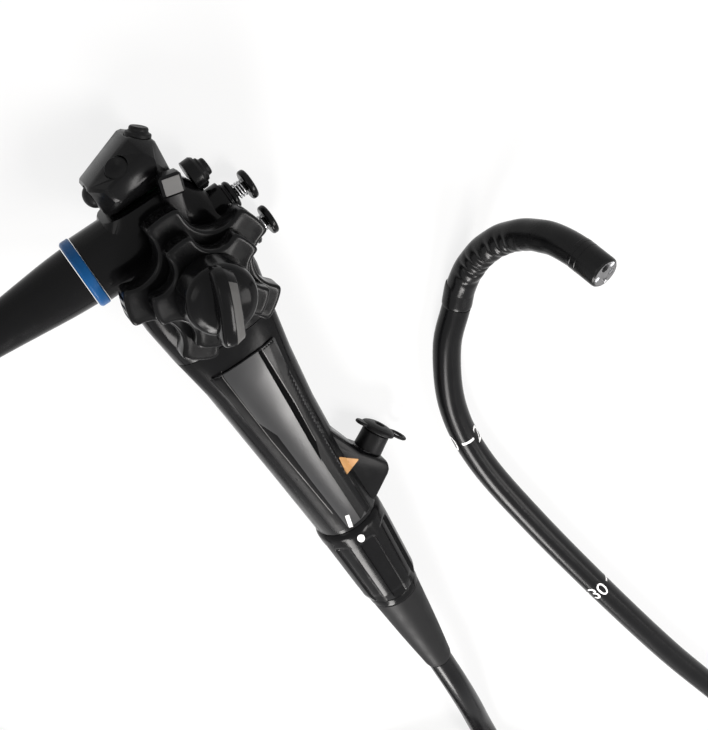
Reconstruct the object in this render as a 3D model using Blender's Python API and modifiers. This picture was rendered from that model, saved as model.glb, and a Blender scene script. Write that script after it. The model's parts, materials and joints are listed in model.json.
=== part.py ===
# Flexible endoscope with its control body, insertion tube, bending section and universal cord.
# Run with: blender --background --python part.py
# Metres, +Z up. The control body lies on the table, so its pieces hang on an empty that is
# turned from the handle's own axes: X to the valves, Y to the back, Z to the switch box.
import math

import bmesh
import bpy
from mathutils import Matrix, Vector

MM = 0.001

# Clearances
GAP = 0.3 * MM
BORE_GAP = 0.3 * MM
MERGE = 0.01 * MM
OVERCUT = 1.0 * MM
DRILL_LENGTH = 60.0 * MM

# Pose of the control body on the table
HANDLE_ROLL_DEG = 20.0
HANDLE_HEIGHT = 21.07 * MM
ORIGIN_X = 29.5 * MM
ORIGIN_Y = -100.5 * MM

# Control body
WALL = 2.4 * MM
GRIP_WALL = 2.7 * MM
HOUSING_TOP = 34.0 * MM
HOUSING_SPLIT = -34.0 * MM
GRIP_END = -147.6 * MM
BODY_SIDE_COUNT = 24
# Stations of the control body: height, centre X, centre Y, half width, half depth, squareness
BODY_STATIONS = (
    (34.0, -2.0, 3.0, 17.0, 12.5, 3.2),
    (24.0, -2.0, 3.0, 23.5, 13.6, 3.6),
    (6.0, -1.5, 3.0, 27.0, 14.0, 3.8),
    (-16.0, -1.5, 3.0, 26.5, 14.0, 3.4),
    (-34.0, -2.0, 2.4, 24.0, 14.2, 3.0),
    (-56.0, -2.0, 1.0, 20.6, 15.0, 2.6),
    (-82.0, -2.3, 0.2, 18.2, 15.6, 2.4),
    (-112.0, -1.8, 0.0, 16.4, 15.6, 2.2),
    (-148.0, 0.0, 0.0, 15.6, 15.6, 2.0),
)

# Raised cover on the grip's front: heights of its rows and directions round the grip
PANEL_HEIGHTS = (-44.0, -56.0, -70.0, -82.0, -98.0, -112.0, -130.0, -145.0)
PANEL_ANGLES_DEG = (232, 244, 256, 268, 280, 292, 304)
PANEL_RISE = 1.3 * MM
# Side branch of the grip under the channel port, as X and Z
BRANCH_OUTLINE = ((2.0, -88.0), (13.5, -101.0), (19.5, -120.1), (28.5, -133.9), (27.2, -138.0),
                  (13.5, -147.3), (2.0, -147.3))
BRANCH_HALF_WIDTH = 8.6 * MM
BRANCH_ROUND = 4.0 * MM
# Plate that carries the control post and the drums, as X and Z
CHASSIS_OUTLINE = ((-13.0, 26.0), (12.0, 26.0), (12.0, -30.0), (8.0, -56.0), (6.0, -88.0),
                   (-8.0, -88.0), (-11.0, -56.0), (-13.0, -30.0))

# Switch box: its outlines as X and Z at four depths along Y
BOX_FRONT = ((-10.0, 40.8), (-12.1, 47.6), (8.1, 51.7), (10.2, 46.0), (8.0, 43.0), (-8.0, 40.0))
BOX_MIDDLE = ((-16.5, 38.0), (-17.0, 49.0), (7.0, 57.5), (15.0, 51.0), (14.0, 34.3), (-15.0, 34.3))
BOX_BACK = ((-14.0, 38.5), (-14.0, 47.5), (6.0, 54.5), (12.0, 49.5), (11.5, 34.3), (-12.5, 34.3))
BOX_SECTIONS = ((-13.0, BOX_FRONT), (-4.0, BOX_MIDDLE), (12.0, BOX_MIDDLE), (16.5, BOX_BACK))
BOARD_SIZE = Vector((20.0, 14.0, 1.6)) * MM
BOARD_PLACE = Vector((-1.5, 3.0, 35.4)) * MM
BOARD_MARGIN = 1.0 * MM
BOARD_ROOM_HEIGHT = 5.5 * MM

# Remote switches: place and direction in the handle's axes, radius, rise over the surface
SWITCHES = (
    (Vector((-3.4, -8.2, 51.2)) * MM, Vector((-0.12, -0.686, 0.727)), 4.7 * MM, 0.2 * MM),
    (Vector((-16.8, 2.0, 43.6)) * MM, Vector((-1.0, 0.0, 0.0)), 5.0 * MM, 3.0 * MM),
    (Vector((11.0, 1.0, 54.2)) * MM, Vector((0.63, 0.0, 0.78)), 5.2 * MM, 3.6 * MM),
    (Vector((24.4, 0.0, 29.4)) * MM, Vector((1.0, 0.0, 0.05)), 5.0 * MM, 3.6 * MM),
)
SWITCH_TRAVEL = 1.0 * MM
SWITCH_POCKET = 3.6 * MM
SOCKET_FLOOR = 1.6 * MM
SOCKET_RIM = 1.1 * MM
SOCKET_WALL = 1.9 * MM

# Angulation controls, measured outward along the control axis from the handle's middle plane
UD_KNOB_RADIUS = 32.0 * MM
UD_KNOB_BASE = 15.8 * MM
UD_KNOB_FACE = 26.3 * MM
UD_KNOB_PHASE_DEG = 163.9
UD_SCALLOP_RADIUS = 12.0 * MM
UD_SCALLOP_CENTRE = 32.5 * MM
RL_KNOB_RADIUS = 23.5 * MM
RL_KNOB_BASE = 26.8 * MM
RL_KNOB_FACE = 35.2 * MM
RL_KNOB_PHASE_DEG = 166.7
RL_SCALLOP_RADIUS = 8.4 * MM
RL_SCALLOP_CENTRE = 24.2 * MM
KNOB_LOBES = 5
KNOB_BEVEL = 1.5 * MM
NOTCH_DEPTH = 1.5 * MM
NOTCH_WIDTH = 1.3 * MM
NOTCH_MARGIN = 1.7 * MM
NOTCH_PITCH = 3.9 * MM
UD_RECESS_RADIUS = 14.9 * MM
UD_RECESS_DEPTH = 0.9 * MM
PLATE_FRONT = 7.0 * MM
PLATE_BACK = 8.6 * MM
POST_RADIUS = 2.2 * MM
POST_TOP = 44.0 * MM
RL_SHAFT_RADIUS = 3.6 * MM
UD_SHAFT_RADIUS = 5.2 * MM
DRUM_RADIUS = 11.0 * MM
DRUM_FLANGE = 1.2 * MM
DRUM_GROOVE = 1.8 * MM
UD_DRUM_LOW = 0.6 * MM
UD_DRUM_HIGH = 6.0 * MM
RL_DRUM_LOW = -6.4 * MM
RL_DRUM_HIGH = -0.8 * MM
LEVER_LOW = 11.4 * MM
LEVER_HIGH = 14.4 * MM
LEVER_HUB_RADIUS = 11.0 * MM
LEVER_REACH = 39.0 * MM
LEVER_ARM_WIDTH = 7.6 * MM
LEVER_BLOCK_SINK = 1.4 * MM
LEVER_ANGLE_DEG = 75.5
LEVER_BLOCK = (9.0 * MM, 8.6 * MM, 7.2 * MM)
LOCK_DISC_RADIUS = 14.2 * MM
LOCK_DISC_LOW = 35.6 * MM
LOCK_DISC_RIM = 48.0 * MM
LOCK_DOME_TOP = 51.6 * MM
LOCK_BAR_TOP = 58.6 * MM
LOCK_BAR_LENGTH = 31.0 * MM
LOCK_BAR_WIDTH = 9.0 * MM
LOCK_BAR_SINK = 6.0 * MM
LOCK_BAR_ANGLE_DEG = 246.9

# Valves on the front of the control body
VALVE_HEIGHTS = {"air_water": 13.4 * MM, "suction": -4.2 * MM}
VALVE_RADIUS = 6.2 * MM
VALVE_NECK = 5.0 * MM
VALVE_SEAT_RIM = 1.6 * MM
VALVE_SEAT_FACE = 27.0 * MM
VALVE_FLOOR = 1.5 * MM
VALVE_EDGE = 1.0 * MM
HOUSING_DRILL_START = 10.0 * MM
VALVE_TIP = 31.4 * MM
VALVE_ROOT = 20.0 * MM
VALVE_BORE = 3.6 * MM
BUTTON_RADIUS = 6.4 * MM
BUTTON_FACE = 39.6 * MM
BUTTON_THICKNESS = 3.0 * MM
BUTTON_TRAVEL = 3.0 * MM
STEM_RADIUS = 2.0 * MM
SPRING_RADIUS = 3.2 * MM
SPRING_WIRE = 0.35 * MM
SPRING_TURNS = 3.5
SPRING_GAP = 0.1 * MM

# Universal cord outlet
CORD_AXIS_Y = 2.4 * MM
CORD_AXIS_Z = 19.6 * MM
CORD_BOSS_RADIUS = 14.4 * MM
CORD_BOSS_END = -32.6 * MM
CORD_RING_RADIUS = 14.8 * MM
CORD_RING_END = -37.4 * MM
CORD_RING_EDGE = 1.0 * MM
CORD_BOOT_RADIUS = 12.8 * MM
CORD_BOOT_END = -97.0 * MM
CORD_BOOT_LIP = 0.8 * MM
CORD_DIAMETER = 13.0 * MM
CORD_BORE_RADIUS = 6.0 * MM
CORD_BOOT_BORE = 4.5 * MM

# Grip end, stiffness ring and insertion tube outlet
RING_TOP = -147.9 * MM
RING_BOTTOM = -199.0 * MM
RING_TOP_RADIUS = 16.6 * MM
RING_LOW_RADIUS = 14.8 * MM
RING_BORE_RADIUS = 12.8 * MM
RING_FLATS = 8
CORE_RADIUS = 12.5 * MM
CORE_BORE = 9.6 * MM
CORE_TOP = -142.0 * MM
CORE_PLUG_STEP = 0.2 * MM
RING_CROWN = 11.0 * MM
RING_FOOT = 5.0 * MM
FLAT_WIDTH = 7.4 * MM
FLAT_THICKNESS = 2.2 * MM
FLAT_LENGTH = 31.0 * MM
FLAT_RISE = 0.4 * MM
BOOT_COLLAR_END = -203.4 * MM
BOOT_RADIUS = 12.6 * MM
BOOT_END = -260.0 * MM
BOOT_END_RADIUS = 7.2 * MM
BOOT_BORE = 5.0 * MM
BOOT_COLLAR_RISE = 0.3 * MM
TUBE_DIAMETER = 12.8 * MM

# Instrument channel port on its side branch
PORT_POINT = Vector((24.0, 0.0, -127.0)) * MM
PORT_ANGLE_DEG = 33.0
PORT_RADIUS = 6.6 * MM
PORT_BORE_DEPTH = 22.0 * MM
PORT_TUBE_RADIUS = 4.2 * MM
PORT_TUBE_BORE = 2.4 * MM
PORT_TUBE_RISE = 6.5 * MM
PORT_TUBE_DEPTH = 6.0 * MM
PORT_VALVE_RISE = 9.6 * MM
PORT_VALVE_SLIT = 1.2 * MM
PORT_CAP_RADIUS = 8.4 * MM
TAB_RADIUS = 3.4 * MM
TAB_PLACE = 0.6 * MM
LOOP_RADIUS = 4.9 * MM
LOOP_BORE = 2.9 * MM
LOOP_PLACE = 2.6 * MM
LOOP_LOW = 0.5 * MM
LOOP_HIGH = 1.9 * MM
HINGE_PLACE = 0.2 * MM

# Bending section: hinges alternate between up-down and right-left
LINK_PITCH = 8.9 * MM
LINK_COUNT = 8
LINK_SIDE_COUNT = 12
LINK_RADIUS = 5.9 * MM
LINK_BORE = 4.3 * MM
EAR_RADIUS = 2.1 * MM
EAR_SPLIT = 5.05 * MM
PIN_RADIUS = 0.9 * MM
PIN_SINK = 0.1 * MM
EAR_REACH = 9.0 * MM
UD_HALF_GAP_DEG = 18.6
RL_HALF_GAP_DEG = 20.6
HINGE_OFFSET = 0.2 * MM
REST_BEND_DEG = 20.0
BASE_LENGTH = 10.0 * MM
TIP_LENGTH = 20.0 * MM
TIP_RADIUS = 6.5 * MM
TIP_SHOULDER = 5.8 * MM
TIP_EDGE = 0.8 * MM
BASE_BAND_LENGTH = 5.0 * MM
BASE_BAND_RISE = 0.2 * MM
EAR_SINK = 0.3 * MM
BEND_BASE = Vector((88.6, -80.3, 6.6)) * MM
BEND_HEADING_DEG = 58.0
BEND_TILT_DEG = 56.0

# Lines inside the grip, as points in the handle's axes chosen by hand
CHANNEL_ROUTE = ((18.7, 0.0, -130.5), (12.6, 0.0, -134.6), (6.5, 0.0, -141.0), (3.4, 0.0, -150.0),
                 (3.0, 0.0, -165.0), (3.0, 0.0, -198.0))
CHANNEL_DIAMETER = 4.6 * MM
CHANNEL_STEP = 8.0 * MM
BUNDLE_ROUTE = ((-31.0, 2.4, 19.6), (-22.0, 5.0, 18.6), (-17.0, 9.0, 12.0), (-13.0, 10.7, 0.0),
                (-11.0, 10.7, -24.0), (-9.0, 10.7, -60.0), (-8.0, 10.4, -88.0), (-7.0, 6.0, -118.0),
                (-4.8, 0.0, -145.0), (-4.8, 0.0, -198.0))
BUNDLE_DIAMETER = 3.2 * MM
BUNDLE_STEP = 12.0 * MM

# Routes of the free cords, as points chosen by hand, in the table frame before the shift to the origin
TUBE_ENTRY_ROUTE = ((0.0, -260.7, 21.07), (0.0, -285.0, 20.0), (-1.5, -310.0, 15.5),
                    (-4.0, -335.0, 9.5), (-5.4, -361.1, 6.45))
TUBE_EXIT_ROUTE = ((-0.4, -426.1, 32.5), (13.4, -446.7, 27.7), (31.8, -459.5, 19.5), (53.5, -465.4, 11.4),
                   (81.2, -461.7, 6.45), (104.8, -446.7, 6.45), (119.8, -423.1, 6.45), (123.7, -401.0, 6.45),
                   (120.5, -381.0, 6.45), (106.9, -339.3, 6.45), (90.5, -279.0, 6.45), (75.0, -215.1, 6.45),
                   (65.6, -165.0, 6.45), (66.0, -130.0, 6.45), (76.0, -99.0, 6.5), (88.4, -80.6, 6.6))
CORD_ROUTE = ((-92.3, 19.6, 52.1), (-106.0, 19.8, 57.0), (-124.0, 21.6, 59.3), (-143.0, 26.0, 57.4),
              (-162.5, 31.2, 53.0))
CORD_END_ROUTE = ((-270.0, -70.8, 6.55), (-269.8, -95.0, 8.2), (-267.5, -110.0, 10.7), (-261.8, -130.0, 15.0),
                  (-255.1, -150.0, 19.3), (-249.9, -170.0, 22.4), (-248.5, -185.0, 23.2),
                  (-248.5, -195.1, 23.2))
TUBE_STEP = 30.0 * MM
CORD_STEP = 16.0 * MM

# Turns of both cords, wound one on another
COIL_RADIUS = 65.0 * MM
LAYER_STEP = 13.1 * MM
LAYER_ANGLES_DEG = (50.0, 0.0, -50.0)
TUBE_COIL_CENTRE = Vector((-70.5, -401.0, 0.0)) * MM
TUBE_COIL_LAYERS = 3
CORD_COIL_CENTRE = Vector((-205.0, -30.0, 0.0)) * MM
CORD_COIL_LAYERS = 4

# Light source connector on the end of the universal cord, with its lengths along its own axis
CONNECTOR_START = Vector((-248.5, -195.5, 23.2)) * MM
CONNECTOR_HEADING_DEG = -90.0
CONNECTOR_BOOT_LENGTH = 42.0 * MM
CONNECTOR_BOOT_RADIUS = 14.5 * MM
CONNECTOR_LENGTH = 92.0 * MM
CONNECTOR_RADIUS = 23.2 * MM
CONNECTOR_NOSE = 7.0 * MM
CONNECTOR_TAPER = 24.0 * MM
PIN_LENGTH = 34.0 * MM
PIN_TIP_RADIUS = 4.6 * MM
PIN_ROOT_RADIUS = 6.5 * MM
PIN_ROOT_LENGTH = 13.0 * MM
SOCKET_PLACE = 52.0 * MM
SOCKET_SEAT_RADIUS = 13.0 * MM
SOCKET_SEAT_RISE = 2.0 * MM
SOCKET_RADIUS = 11.6 * MM
SOCKET_HEIGHT = 9.0 * MM

# Distal face: each piece's place on the face and its radius
LENS_DEPTH = 1.6 * MM
LENS_GAP = 0.1 * MM
NOZZLE_RISE = 0.9 * MM
LENS_SINK = 0.05 * MM
TIP_CHANNEL = (Vector((1.6, -3.0, 0.0)) * MM, 1.85 * MM)
TIP_PIECES = {
    "objective_lens": (Vector((-3.1, -0.4, 0.0)) * MM, 1.35 * MM),
    "light_lens_1": (Vector((3.6, 1.9, 0.0)) * MM, 1.2 * MM),
    "light_lens_2": (Vector((-2.2, -4.0, 0.0)) * MM, 1.2 * MM),
    "spray_nozzle": (Vector((-1.3, 3.4, 0.0)) * MM, 0.9 * MM),
}


def clear_scene():
    for item in list(bpy.data.objects):
        bpy.data.objects.remove(item, do_unlink=True)


def make_collection(name):
    collection = bpy.data.collections.new(name)
    bpy.context.scene.collection.children.link(collection)
    return collection


def make_material(name, colour, roughness, metallic=0.0):
    material = bpy.data.materials.new(name)
    material.use_nodes = True
    shader = material.node_tree.nodes["Principled BSDF"]
    shader.inputs["Base Color"].default_value = (*colour, 1.0)
    shader.inputs["Roughness"].default_value = roughness
    shader.inputs["Metallic"].default_value = metallic
    material.diffuse_color = (*colour, 1.0)
    return material


def make_materials():
    return {
        "black_gloss": make_material("black_gloss", (0.012, 0.012, 0.013), 0.28),
        "black_satin": make_material("black_satin", (0.018, 0.018, 0.019), 0.45),
        "black_rubber": make_material("black_rubber", (0.022, 0.022, 0.023), 0.7),
        "grey_panel": make_material("grey_panel", (0.05, 0.05, 0.052), 0.3),
        "blue_plastic": make_material("blue_plastic", (0.01, 0.09, 0.3), 0.35),
        "steel": make_material("steel", (0.6, 0.6, 0.61), 0.3, 1.0),
        "brass": make_material("brass", (0.6, 0.45, 0.2), 0.35, 1.0),
        "aluminium": make_material("aluminium", (0.55, 0.55, 0.56), 0.4, 1.0),
        "tip_grey": make_material("tip_grey", (0.2, 0.2, 0.21), 0.5),
        "lens": make_material("lens", (0.75, 0.78, 0.8), 0.08),
        "fibre": make_material("fibre", (0.16, 0.16, 0.17), 0.6),
        "cord_rubber": make_material("cord_rubber", (0.016, 0.016, 0.017), 0.4),
        "board": make_material("board", (0.02, 0.16, 0.06), 0.5),
    }


def add_object(name, mesh):
    item = bpy.data.objects.new(name, mesh)
    PARTS.objects.link(item)
    return item


def finish_mesh(name, work):
    bmesh.ops.remove_doubles(work, verts=work.verts, dist=MERGE)
    bmesh.ops.recalc_face_normals(work, faces=work.faces)
    mesh = bpy.data.meshes.new(name)
    work.to_mesh(mesh)
    work.free()
    return mesh


def bake(item):
    bpy.context.view_layer.update()
    graph = bpy.context.evaluated_depsgraph_get()
    mesh = bpy.data.meshes.new_from_object(item.evaluated_get(graph))
    item.modifiers.clear()
    item.data = mesh
    return item


def boolean(item, cutter, operation="DIFFERENCE"):
    modifier = item.modifiers.new("boolean", "BOOLEAN")
    modifier.operation = operation
    modifier.solver = "EXACT"
    modifier.object = cutter
    bake(item)
    bpy.data.objects.remove(cutter, do_unlink=True)
    return item


def bevel(item, width, segments=2, angle_deg=35.0):
    modifier = item.modifiers.new("bevel", "BEVEL")
    modifier.width = width
    modifier.segments = segments
    modifier.limit_method = "ANGLE"
    modifier.angle_limit = math.radians(angle_deg)
    return bake(item)


def shade_smooth(item, angle_deg=35.0):
    item.data.shade_smooth()
    for edge in edges_sharper(item.data, math.radians(angle_deg)):
        edge.use_edge_sharp = True


def edges_sharper(mesh, limit):
    work = bmesh.new()
    work.from_mesh(mesh)
    work.edges.ensure_lookup_table()
    sharp = [edge.index for edge in work.edges
             if len(edge.link_faces) == 2 and edge.calc_face_angle(0.0) > limit]
    work.free()
    return [mesh.edges[index] for index in sharp]


def cylinder(name, radius, low, high, around=32, top_radius=None):
    work = bmesh.new()
    bmesh.ops.create_cone(work, cap_ends=True, segments=around, radius1=radius,
                          radius2=radius if top_radius is None else top_radius, depth=high - low)
    bmesh.ops.translate(work, verts=work.verts, vec=(0.0, 0.0, (high + low) / 2))
    return add_object(name, finish_mesh(name, work))


def box(name, size, centre=(0.0, 0.0, 0.0), turn=None):
    work = bmesh.new()
    bmesh.ops.create_cube(work, size=1.0)
    bmesh.ops.scale(work, verts=work.verts, vec=size)
    if turn is not None:
        bmesh.ops.rotate(work, verts=work.verts, cent=(0.0, 0.0, 0.0), matrix=turn)
    bmesh.ops.translate(work, verts=work.verts, vec=centre)
    return add_object(name, finish_mesh(name, work))


def turned(name, profile, around=32):
    # The profile runs from top to bottom on the outer side, as pairs of radius and height.
    work = bmesh.new()
    points = [work.verts.new((radius, 0.0, height)) for radius, height in profile]
    for first, second in zip(points, points[1:]):
        work.edges.new((first, second))
    closed = profile[0][0] > MERGE
    if closed:
        work.edges.new((points[-1], points[0]))
    mesh = bpy.data.meshes.new(name)
    work.to_mesh(mesh)
    work.free()
    item = add_object(name, mesh)
    screw = item.modifiers.new("screw", "SCREW")
    screw.steps = around
    screw.render_steps = around
    screw.use_merge_vertices = True
    screw.merge_threshold = MERGE
    bake(item)
    return tidy_normals(item)


def tidy_normals(item):
    work = bmesh.new()
    work.from_mesh(item.data)
    bmesh.ops.remove_doubles(work, verts=work.verts, dist=MERGE)
    bmesh.ops.recalc_face_normals(work, faces=work.faces)
    work.to_mesh(item.data)
    work.free()
    return item


def outline_prism(name, outline, low, high):
    curve = bpy.data.curves.new(name, "CURVE")
    curve.dimensions = "2D"
    curve.fill_mode = "BOTH"
    curve.extrude = (high - low) / 2
    spline = curve.splines.new("POLY")
    spline.points.add(len(outline) - 1)
    for point, place in zip(spline.points, outline):
        point.co = (place[0], place[1], 0.0, 1.0)
    spline.use_cyclic_u = True
    item = bpy.data.objects.new(name, curve)
    PARTS.objects.link(item)
    bpy.context.view_layer.update()
    graph = bpy.context.evaluated_depsgraph_get()
    mesh = bpy.data.meshes.new_from_object(item.evaluated_get(graph))
    bpy.data.objects.remove(item, do_unlink=True)
    solid = add_object(name, mesh)
    for vertex in solid.data.vertices:
        vertex.co.z += (high + low) / 2
    return tidy_normals(solid)


def tube_curve(name, points, diameter, resolution=2):
    curve = bpy.data.curves.new(name, "CURVE")
    curve.dimensions = "3D"
    curve.bevel_depth = diameter / 2
    curve.bevel_resolution = resolution
    curve.use_fill_caps = True
    spline = curve.splines.new("POLY")
    spline.points.add(len(points) - 1)
    for point, place in zip(spline.points, points):
        point.co = (*place, 1.0)
    item = bpy.data.objects.new(name, curve)
    PARTS.objects.link(item)
    return item


def tube_mesh(name, points, diameter, resolution=2):
    item = tube_curve(name, points, diameter, resolution)
    bpy.context.view_layer.update()
    graph = bpy.context.evaluated_depsgraph_get()
    mesh = bpy.data.meshes.new_from_object(item.evaluated_get(graph))
    bpy.data.objects.remove(item, do_unlink=True)
    return tidy_normals(add_object(name, mesh))


def smooth_route(points, spacing):
    # A Catmull-Rom curve through the route's points, read at even steps.
    places = [Vector(point) for point in points]
    padded = [2 * places[0] - places[1]] + places + [2 * places[-1] - places[-2]]
    fine = []
    for index in range(1, len(padded) - 2):
        before, start, end, after = padded[index - 1:index + 3]
        for step in range(24):
            t = step / 24
            fine.append(0.5 * (2 * start + (end - before) * t
                               + (2 * before - 5 * start + 4 * end - after) * t ** 2
                               + (3 * start - before - 3 * end + after) * t ** 3))
    fine.append(places[-1])
    lengths = [0.0]
    for first, second in zip(fine, fine[1:]):
        lengths.append(lengths[-1] + (second - first).length)
    count = max(2, round(lengths[-1] / spacing))
    result = []
    place = 0
    for step in range(count + 1):
        target = lengths[-1] * step / count
        while place < len(fine) - 2 and lengths[place + 1] < target:
            place += 1
        span = lengths[place + 1] - lengths[place]
        result.append(fine[place].lerp(fine[place + 1], (target - lengths[place]) / span))
    return result


def place(item, material, parent=None, location=(0.0, 0.0, 0.0), rotation=None):
    item.parent = parent
    item.location = location
    if rotation is not None:
        item.rotation_euler = rotation
    item.data.materials.clear()
    item.data.materials.append(MATERIALS[material])
    shade_smooth(item)
    return item


def make_empty(name, parent=None, location=(0.0, 0.0, 0.0), rotation=(0.0, 0.0, 0.0)):
    empty = bpy.data.objects.new(name, None)
    empty.empty_display_size = 0.01
    PARTS.objects.link(empty)
    empty.parent = parent
    empty.location = location
    empty.rotation_euler = rotation
    return empty


def turn_to(direction):
    return Vector((0.0, 0.0, 1.0)).rotation_difference(Vector(direction)).to_euler()


def body_station(height):
    rows = BODY_STATIONS
    for upper, lower in zip(rows, rows[1:]):
        if height >= lower[0]:
            share = min(1.0, (upper[0] - height) / (upper[0] - lower[0]))
            return [a + (b - a) * share for a, b in zip(upper, lower)]
    return list(rows[-1])


def body_point(height, angle, inset=0.0):
    station = body_station(height / MM)
    centre_x, centre_y, half_x, half_y, squareness = station[1:]
    cosine, sine = math.cos(angle), math.sin(angle)
    power = 2.0 / squareness
    x = centre_x * MM + (half_x * MM - inset) * math.copysign(abs(cosine) ** power, cosine)
    y = centre_y * MM + (half_y * MM - inset) * math.copysign(abs(sine) ** power, sine)
    return Vector((x, y, height))


def body_heights(top, bottom):
    inner = [row[0] * MM for row in BODY_STATIONS if bottom + MM < row[0] * MM < top - MM]
    return [top, *inner, bottom]


def loft(name, rings):
    # Rings of equal counts are skinned in order and closed with a cap at each end.
    work = bmesh.new()
    rows = [[work.verts.new(point) for point in ring] for ring in rings]
    count = len(rows[0])
    for upper, lower in zip(rows, rows[1:]):
        for index in range(count):
            following = (index + 1) % count
            work.faces.new((upper[index], upper[following], lower[following], lower[index]))
    work.faces.new(rows[0])
    work.faces.new(list(reversed(rows[-1])))
    return add_object(name, finish_mesh(name, work))


def body_block(name, top, bottom, inset=0.0):
    angles = [2 * math.pi * step / BODY_SIDE_COUNT for step in range(BODY_SIDE_COUNT)]
    rings = [[body_point(height, angle, inset) for angle in angles] for height in body_heights(top, bottom)]
    return loft(name, rings)


def aimed(item, location, direction):
    item.matrix_world = Matrix.Translation(location) @ turn_to(direction).to_matrix().to_4x4()
    return item


def make_upper_housing():
    item = body_block("upper_housing", HOUSING_TOP, HOUSING_SPLIT)
    boss = aimed(cylinder("boss", CORD_BOSS_RADIUS, CORD_BORE_RADIUS, -CORD_BOSS_END),
                 (0.0, CORD_AXIS_Y, CORD_AXIS_Z), (-1.0, 0.0, 0.0))
    boolean(item, boss, "UNION")
    seat = aimed(cylinder("seat", VALVE_RADIUS + VALVE_SEAT_RIM, VALVE_ROOT / 2, VALVE_SEAT_FACE, 24),
                 (0.0, 0.0, VALVE_HEIGHTS["air_water"]), (1.0, 0.0, 0.0))
    boolean(item, seat, "UNION")
    boolean(item, body_block("cavity", HOUSING_TOP - WALL, HOUSING_SPLIT - OVERCUT, WALL))
    bore = aimed(cylinder("bore", CORD_BORE_RADIUS, HOUSING_DRILL_START, DRILL_LENGTH, 20),
                 (0.0, CORD_AXIS_Y, CORD_AXIS_Z), (-1.0, 0.0, 0.0))
    boolean(item, bore)
    for height in VALVE_HEIGHTS.values():
        hole = aimed(cylinder("hole", VALVE_NECK + BORE_GAP, HOUSING_DRILL_START, DRILL_LENGTH, 24),
                     (0.0, 0.0, height), (1.0, 0.0, 0.0))
        boolean(item, hole)
    shaft_hole = aimed(cylinder("shaft_hole", UD_SHAFT_RADIUS + BORE_GAP, UD_DRUM_HIGH, DRILL_LENGTH, 24),
                       (0.0, 0.0, 0.0), (0.0, -1.0, 0.0))
    boolean(item, shaft_hole)
    return place(item, "black_gloss", HANDLE)


def make_grip_shell():
    item = body_block("grip_shell", HOUSING_SPLIT - GAP, GRIP_END)
    outline = [(x * MM, z * MM) for x, z in BRANCH_OUTLINE]
    branch = outline_prism("branch", outline, -BRANCH_HALF_WIDTH, BRANCH_HALF_WIDTH)
    bevel(branch, BRANCH_ROUND, 2)
    branch.rotation_euler = (math.radians(90), 0.0, 0.0)
    boolean(item, branch, "UNION")
    boolean(item, body_block("cavity", HOUSING_SPLIT, GRIP_END - OVERCUT, GRIP_WALL))
    drill = cylinder("port_bore", PORT_TUBE_RADIUS + BORE_GAP, -PORT_BORE_DEPTH, DRILL_LENGTH / 2, 20)
    boolean(item, aimed(drill, PORT_POINT, port_direction()))
    return place(item, "black_satin", HANDLE)


def port_direction():
    angle = math.radians(PORT_ANGLE_DEG)
    return Vector((math.cos(angle), 0.0, math.sin(angle)))


def make_grip_panel():
    # A raised cover on the grip's front face, a thin shell that follows the grip's own sections.
    spans = [math.radians(angle) for angle in PANEL_ANGLES_DEG]
    outer = [[body_point(height * MM, angle, -PANEL_RISE) for angle in spans] for height in PANEL_HEIGHTS]
    inner = [[body_point(height * MM, angle, -GAP) for angle in spans] for height in PANEL_HEIGHTS]
    rings = [upper + list(reversed(lower)) for upper, lower in zip(outer, inner)]
    item = loft("grip_panel", rings)
    bevel(item, 0.35 * MM, 1, 50)
    return place(item, "grey_panel", HANDLE)


def box_ring(depth, points):
    return [Vector((x * MM, depth * MM, z * MM)) for x, z in points]


def make_switch_box():
    item = loft("switch_box", [box_ring(depth, outline) for depth, outline in BOX_SECTIONS])
    bevel(item, 1.0 * MM, 1, 18)
    for point, direction, radius, _rise in SWITCHES[:3]:
        pocket = cylinder("pocket", radius + BORE_GAP, -SWITCH_POCKET, DRILL_LENGTH, 24)
        boolean(item, aimed(pocket, point, direction))
    width, depth, _height = BOARD_SIZE
    rise = Vector((0.0, 0.0, (BOARD_ROOM_HEIGHT - BOARD_SIZE.z) / 2 - GAP))
    size = (width + 2 * BOARD_MARGIN, depth + 2 * BOARD_MARGIN, BOARD_ROOM_HEIGHT)
    boolean(item, box("board_room", size, BOARD_PLACE + rise))
    return place(item, "black_satin", HANDLE)


def make_switch_board():
    item = box("switch_board", BOARD_SIZE, BOARD_PLACE)
    return place(item, "board", HANDLE)


def switch_profile(index, radius, rise):
    low = -SWITCH_POCKET + SWITCH_TRAVEL + GAP
    if index == 0:
        return [(0.0, rise - 1.1 * MM), (radius * 0.55, rise - 0.6 * MM), (radius - 0.5 * MM, rise),
                (radius, rise - 0.3 * MM), (radius, low), (0.0, low)]
    if index == 1:
        arc = [(radius * math.sin(math.radians(angle)), rise * math.cos(math.radians(angle)))
               for angle in (25, 50, 75)]
        return [(0.0, rise), *arc, (radius, low), (0.0, low)]
    step = rise * 0.45
    return [(0.0, rise), (radius * 0.62, rise), (radius * 0.74, rise - 0.7 * MM), (radius * 0.74, step),
            (radius, step - 0.5 * MM), (radius, low), (0.0, low)]


def make_switches():
    for index, (point, direction, radius, rise) in enumerate(SWITCHES):
        name = f"switch_{index + 1}"
        axis = make_empty(f"{name}_axis", HANDLE, point, turn_to(direction))
        item = turned(name, switch_profile(index, radius, rise), 18)
        place(item, "black_rubber", axis)


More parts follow.
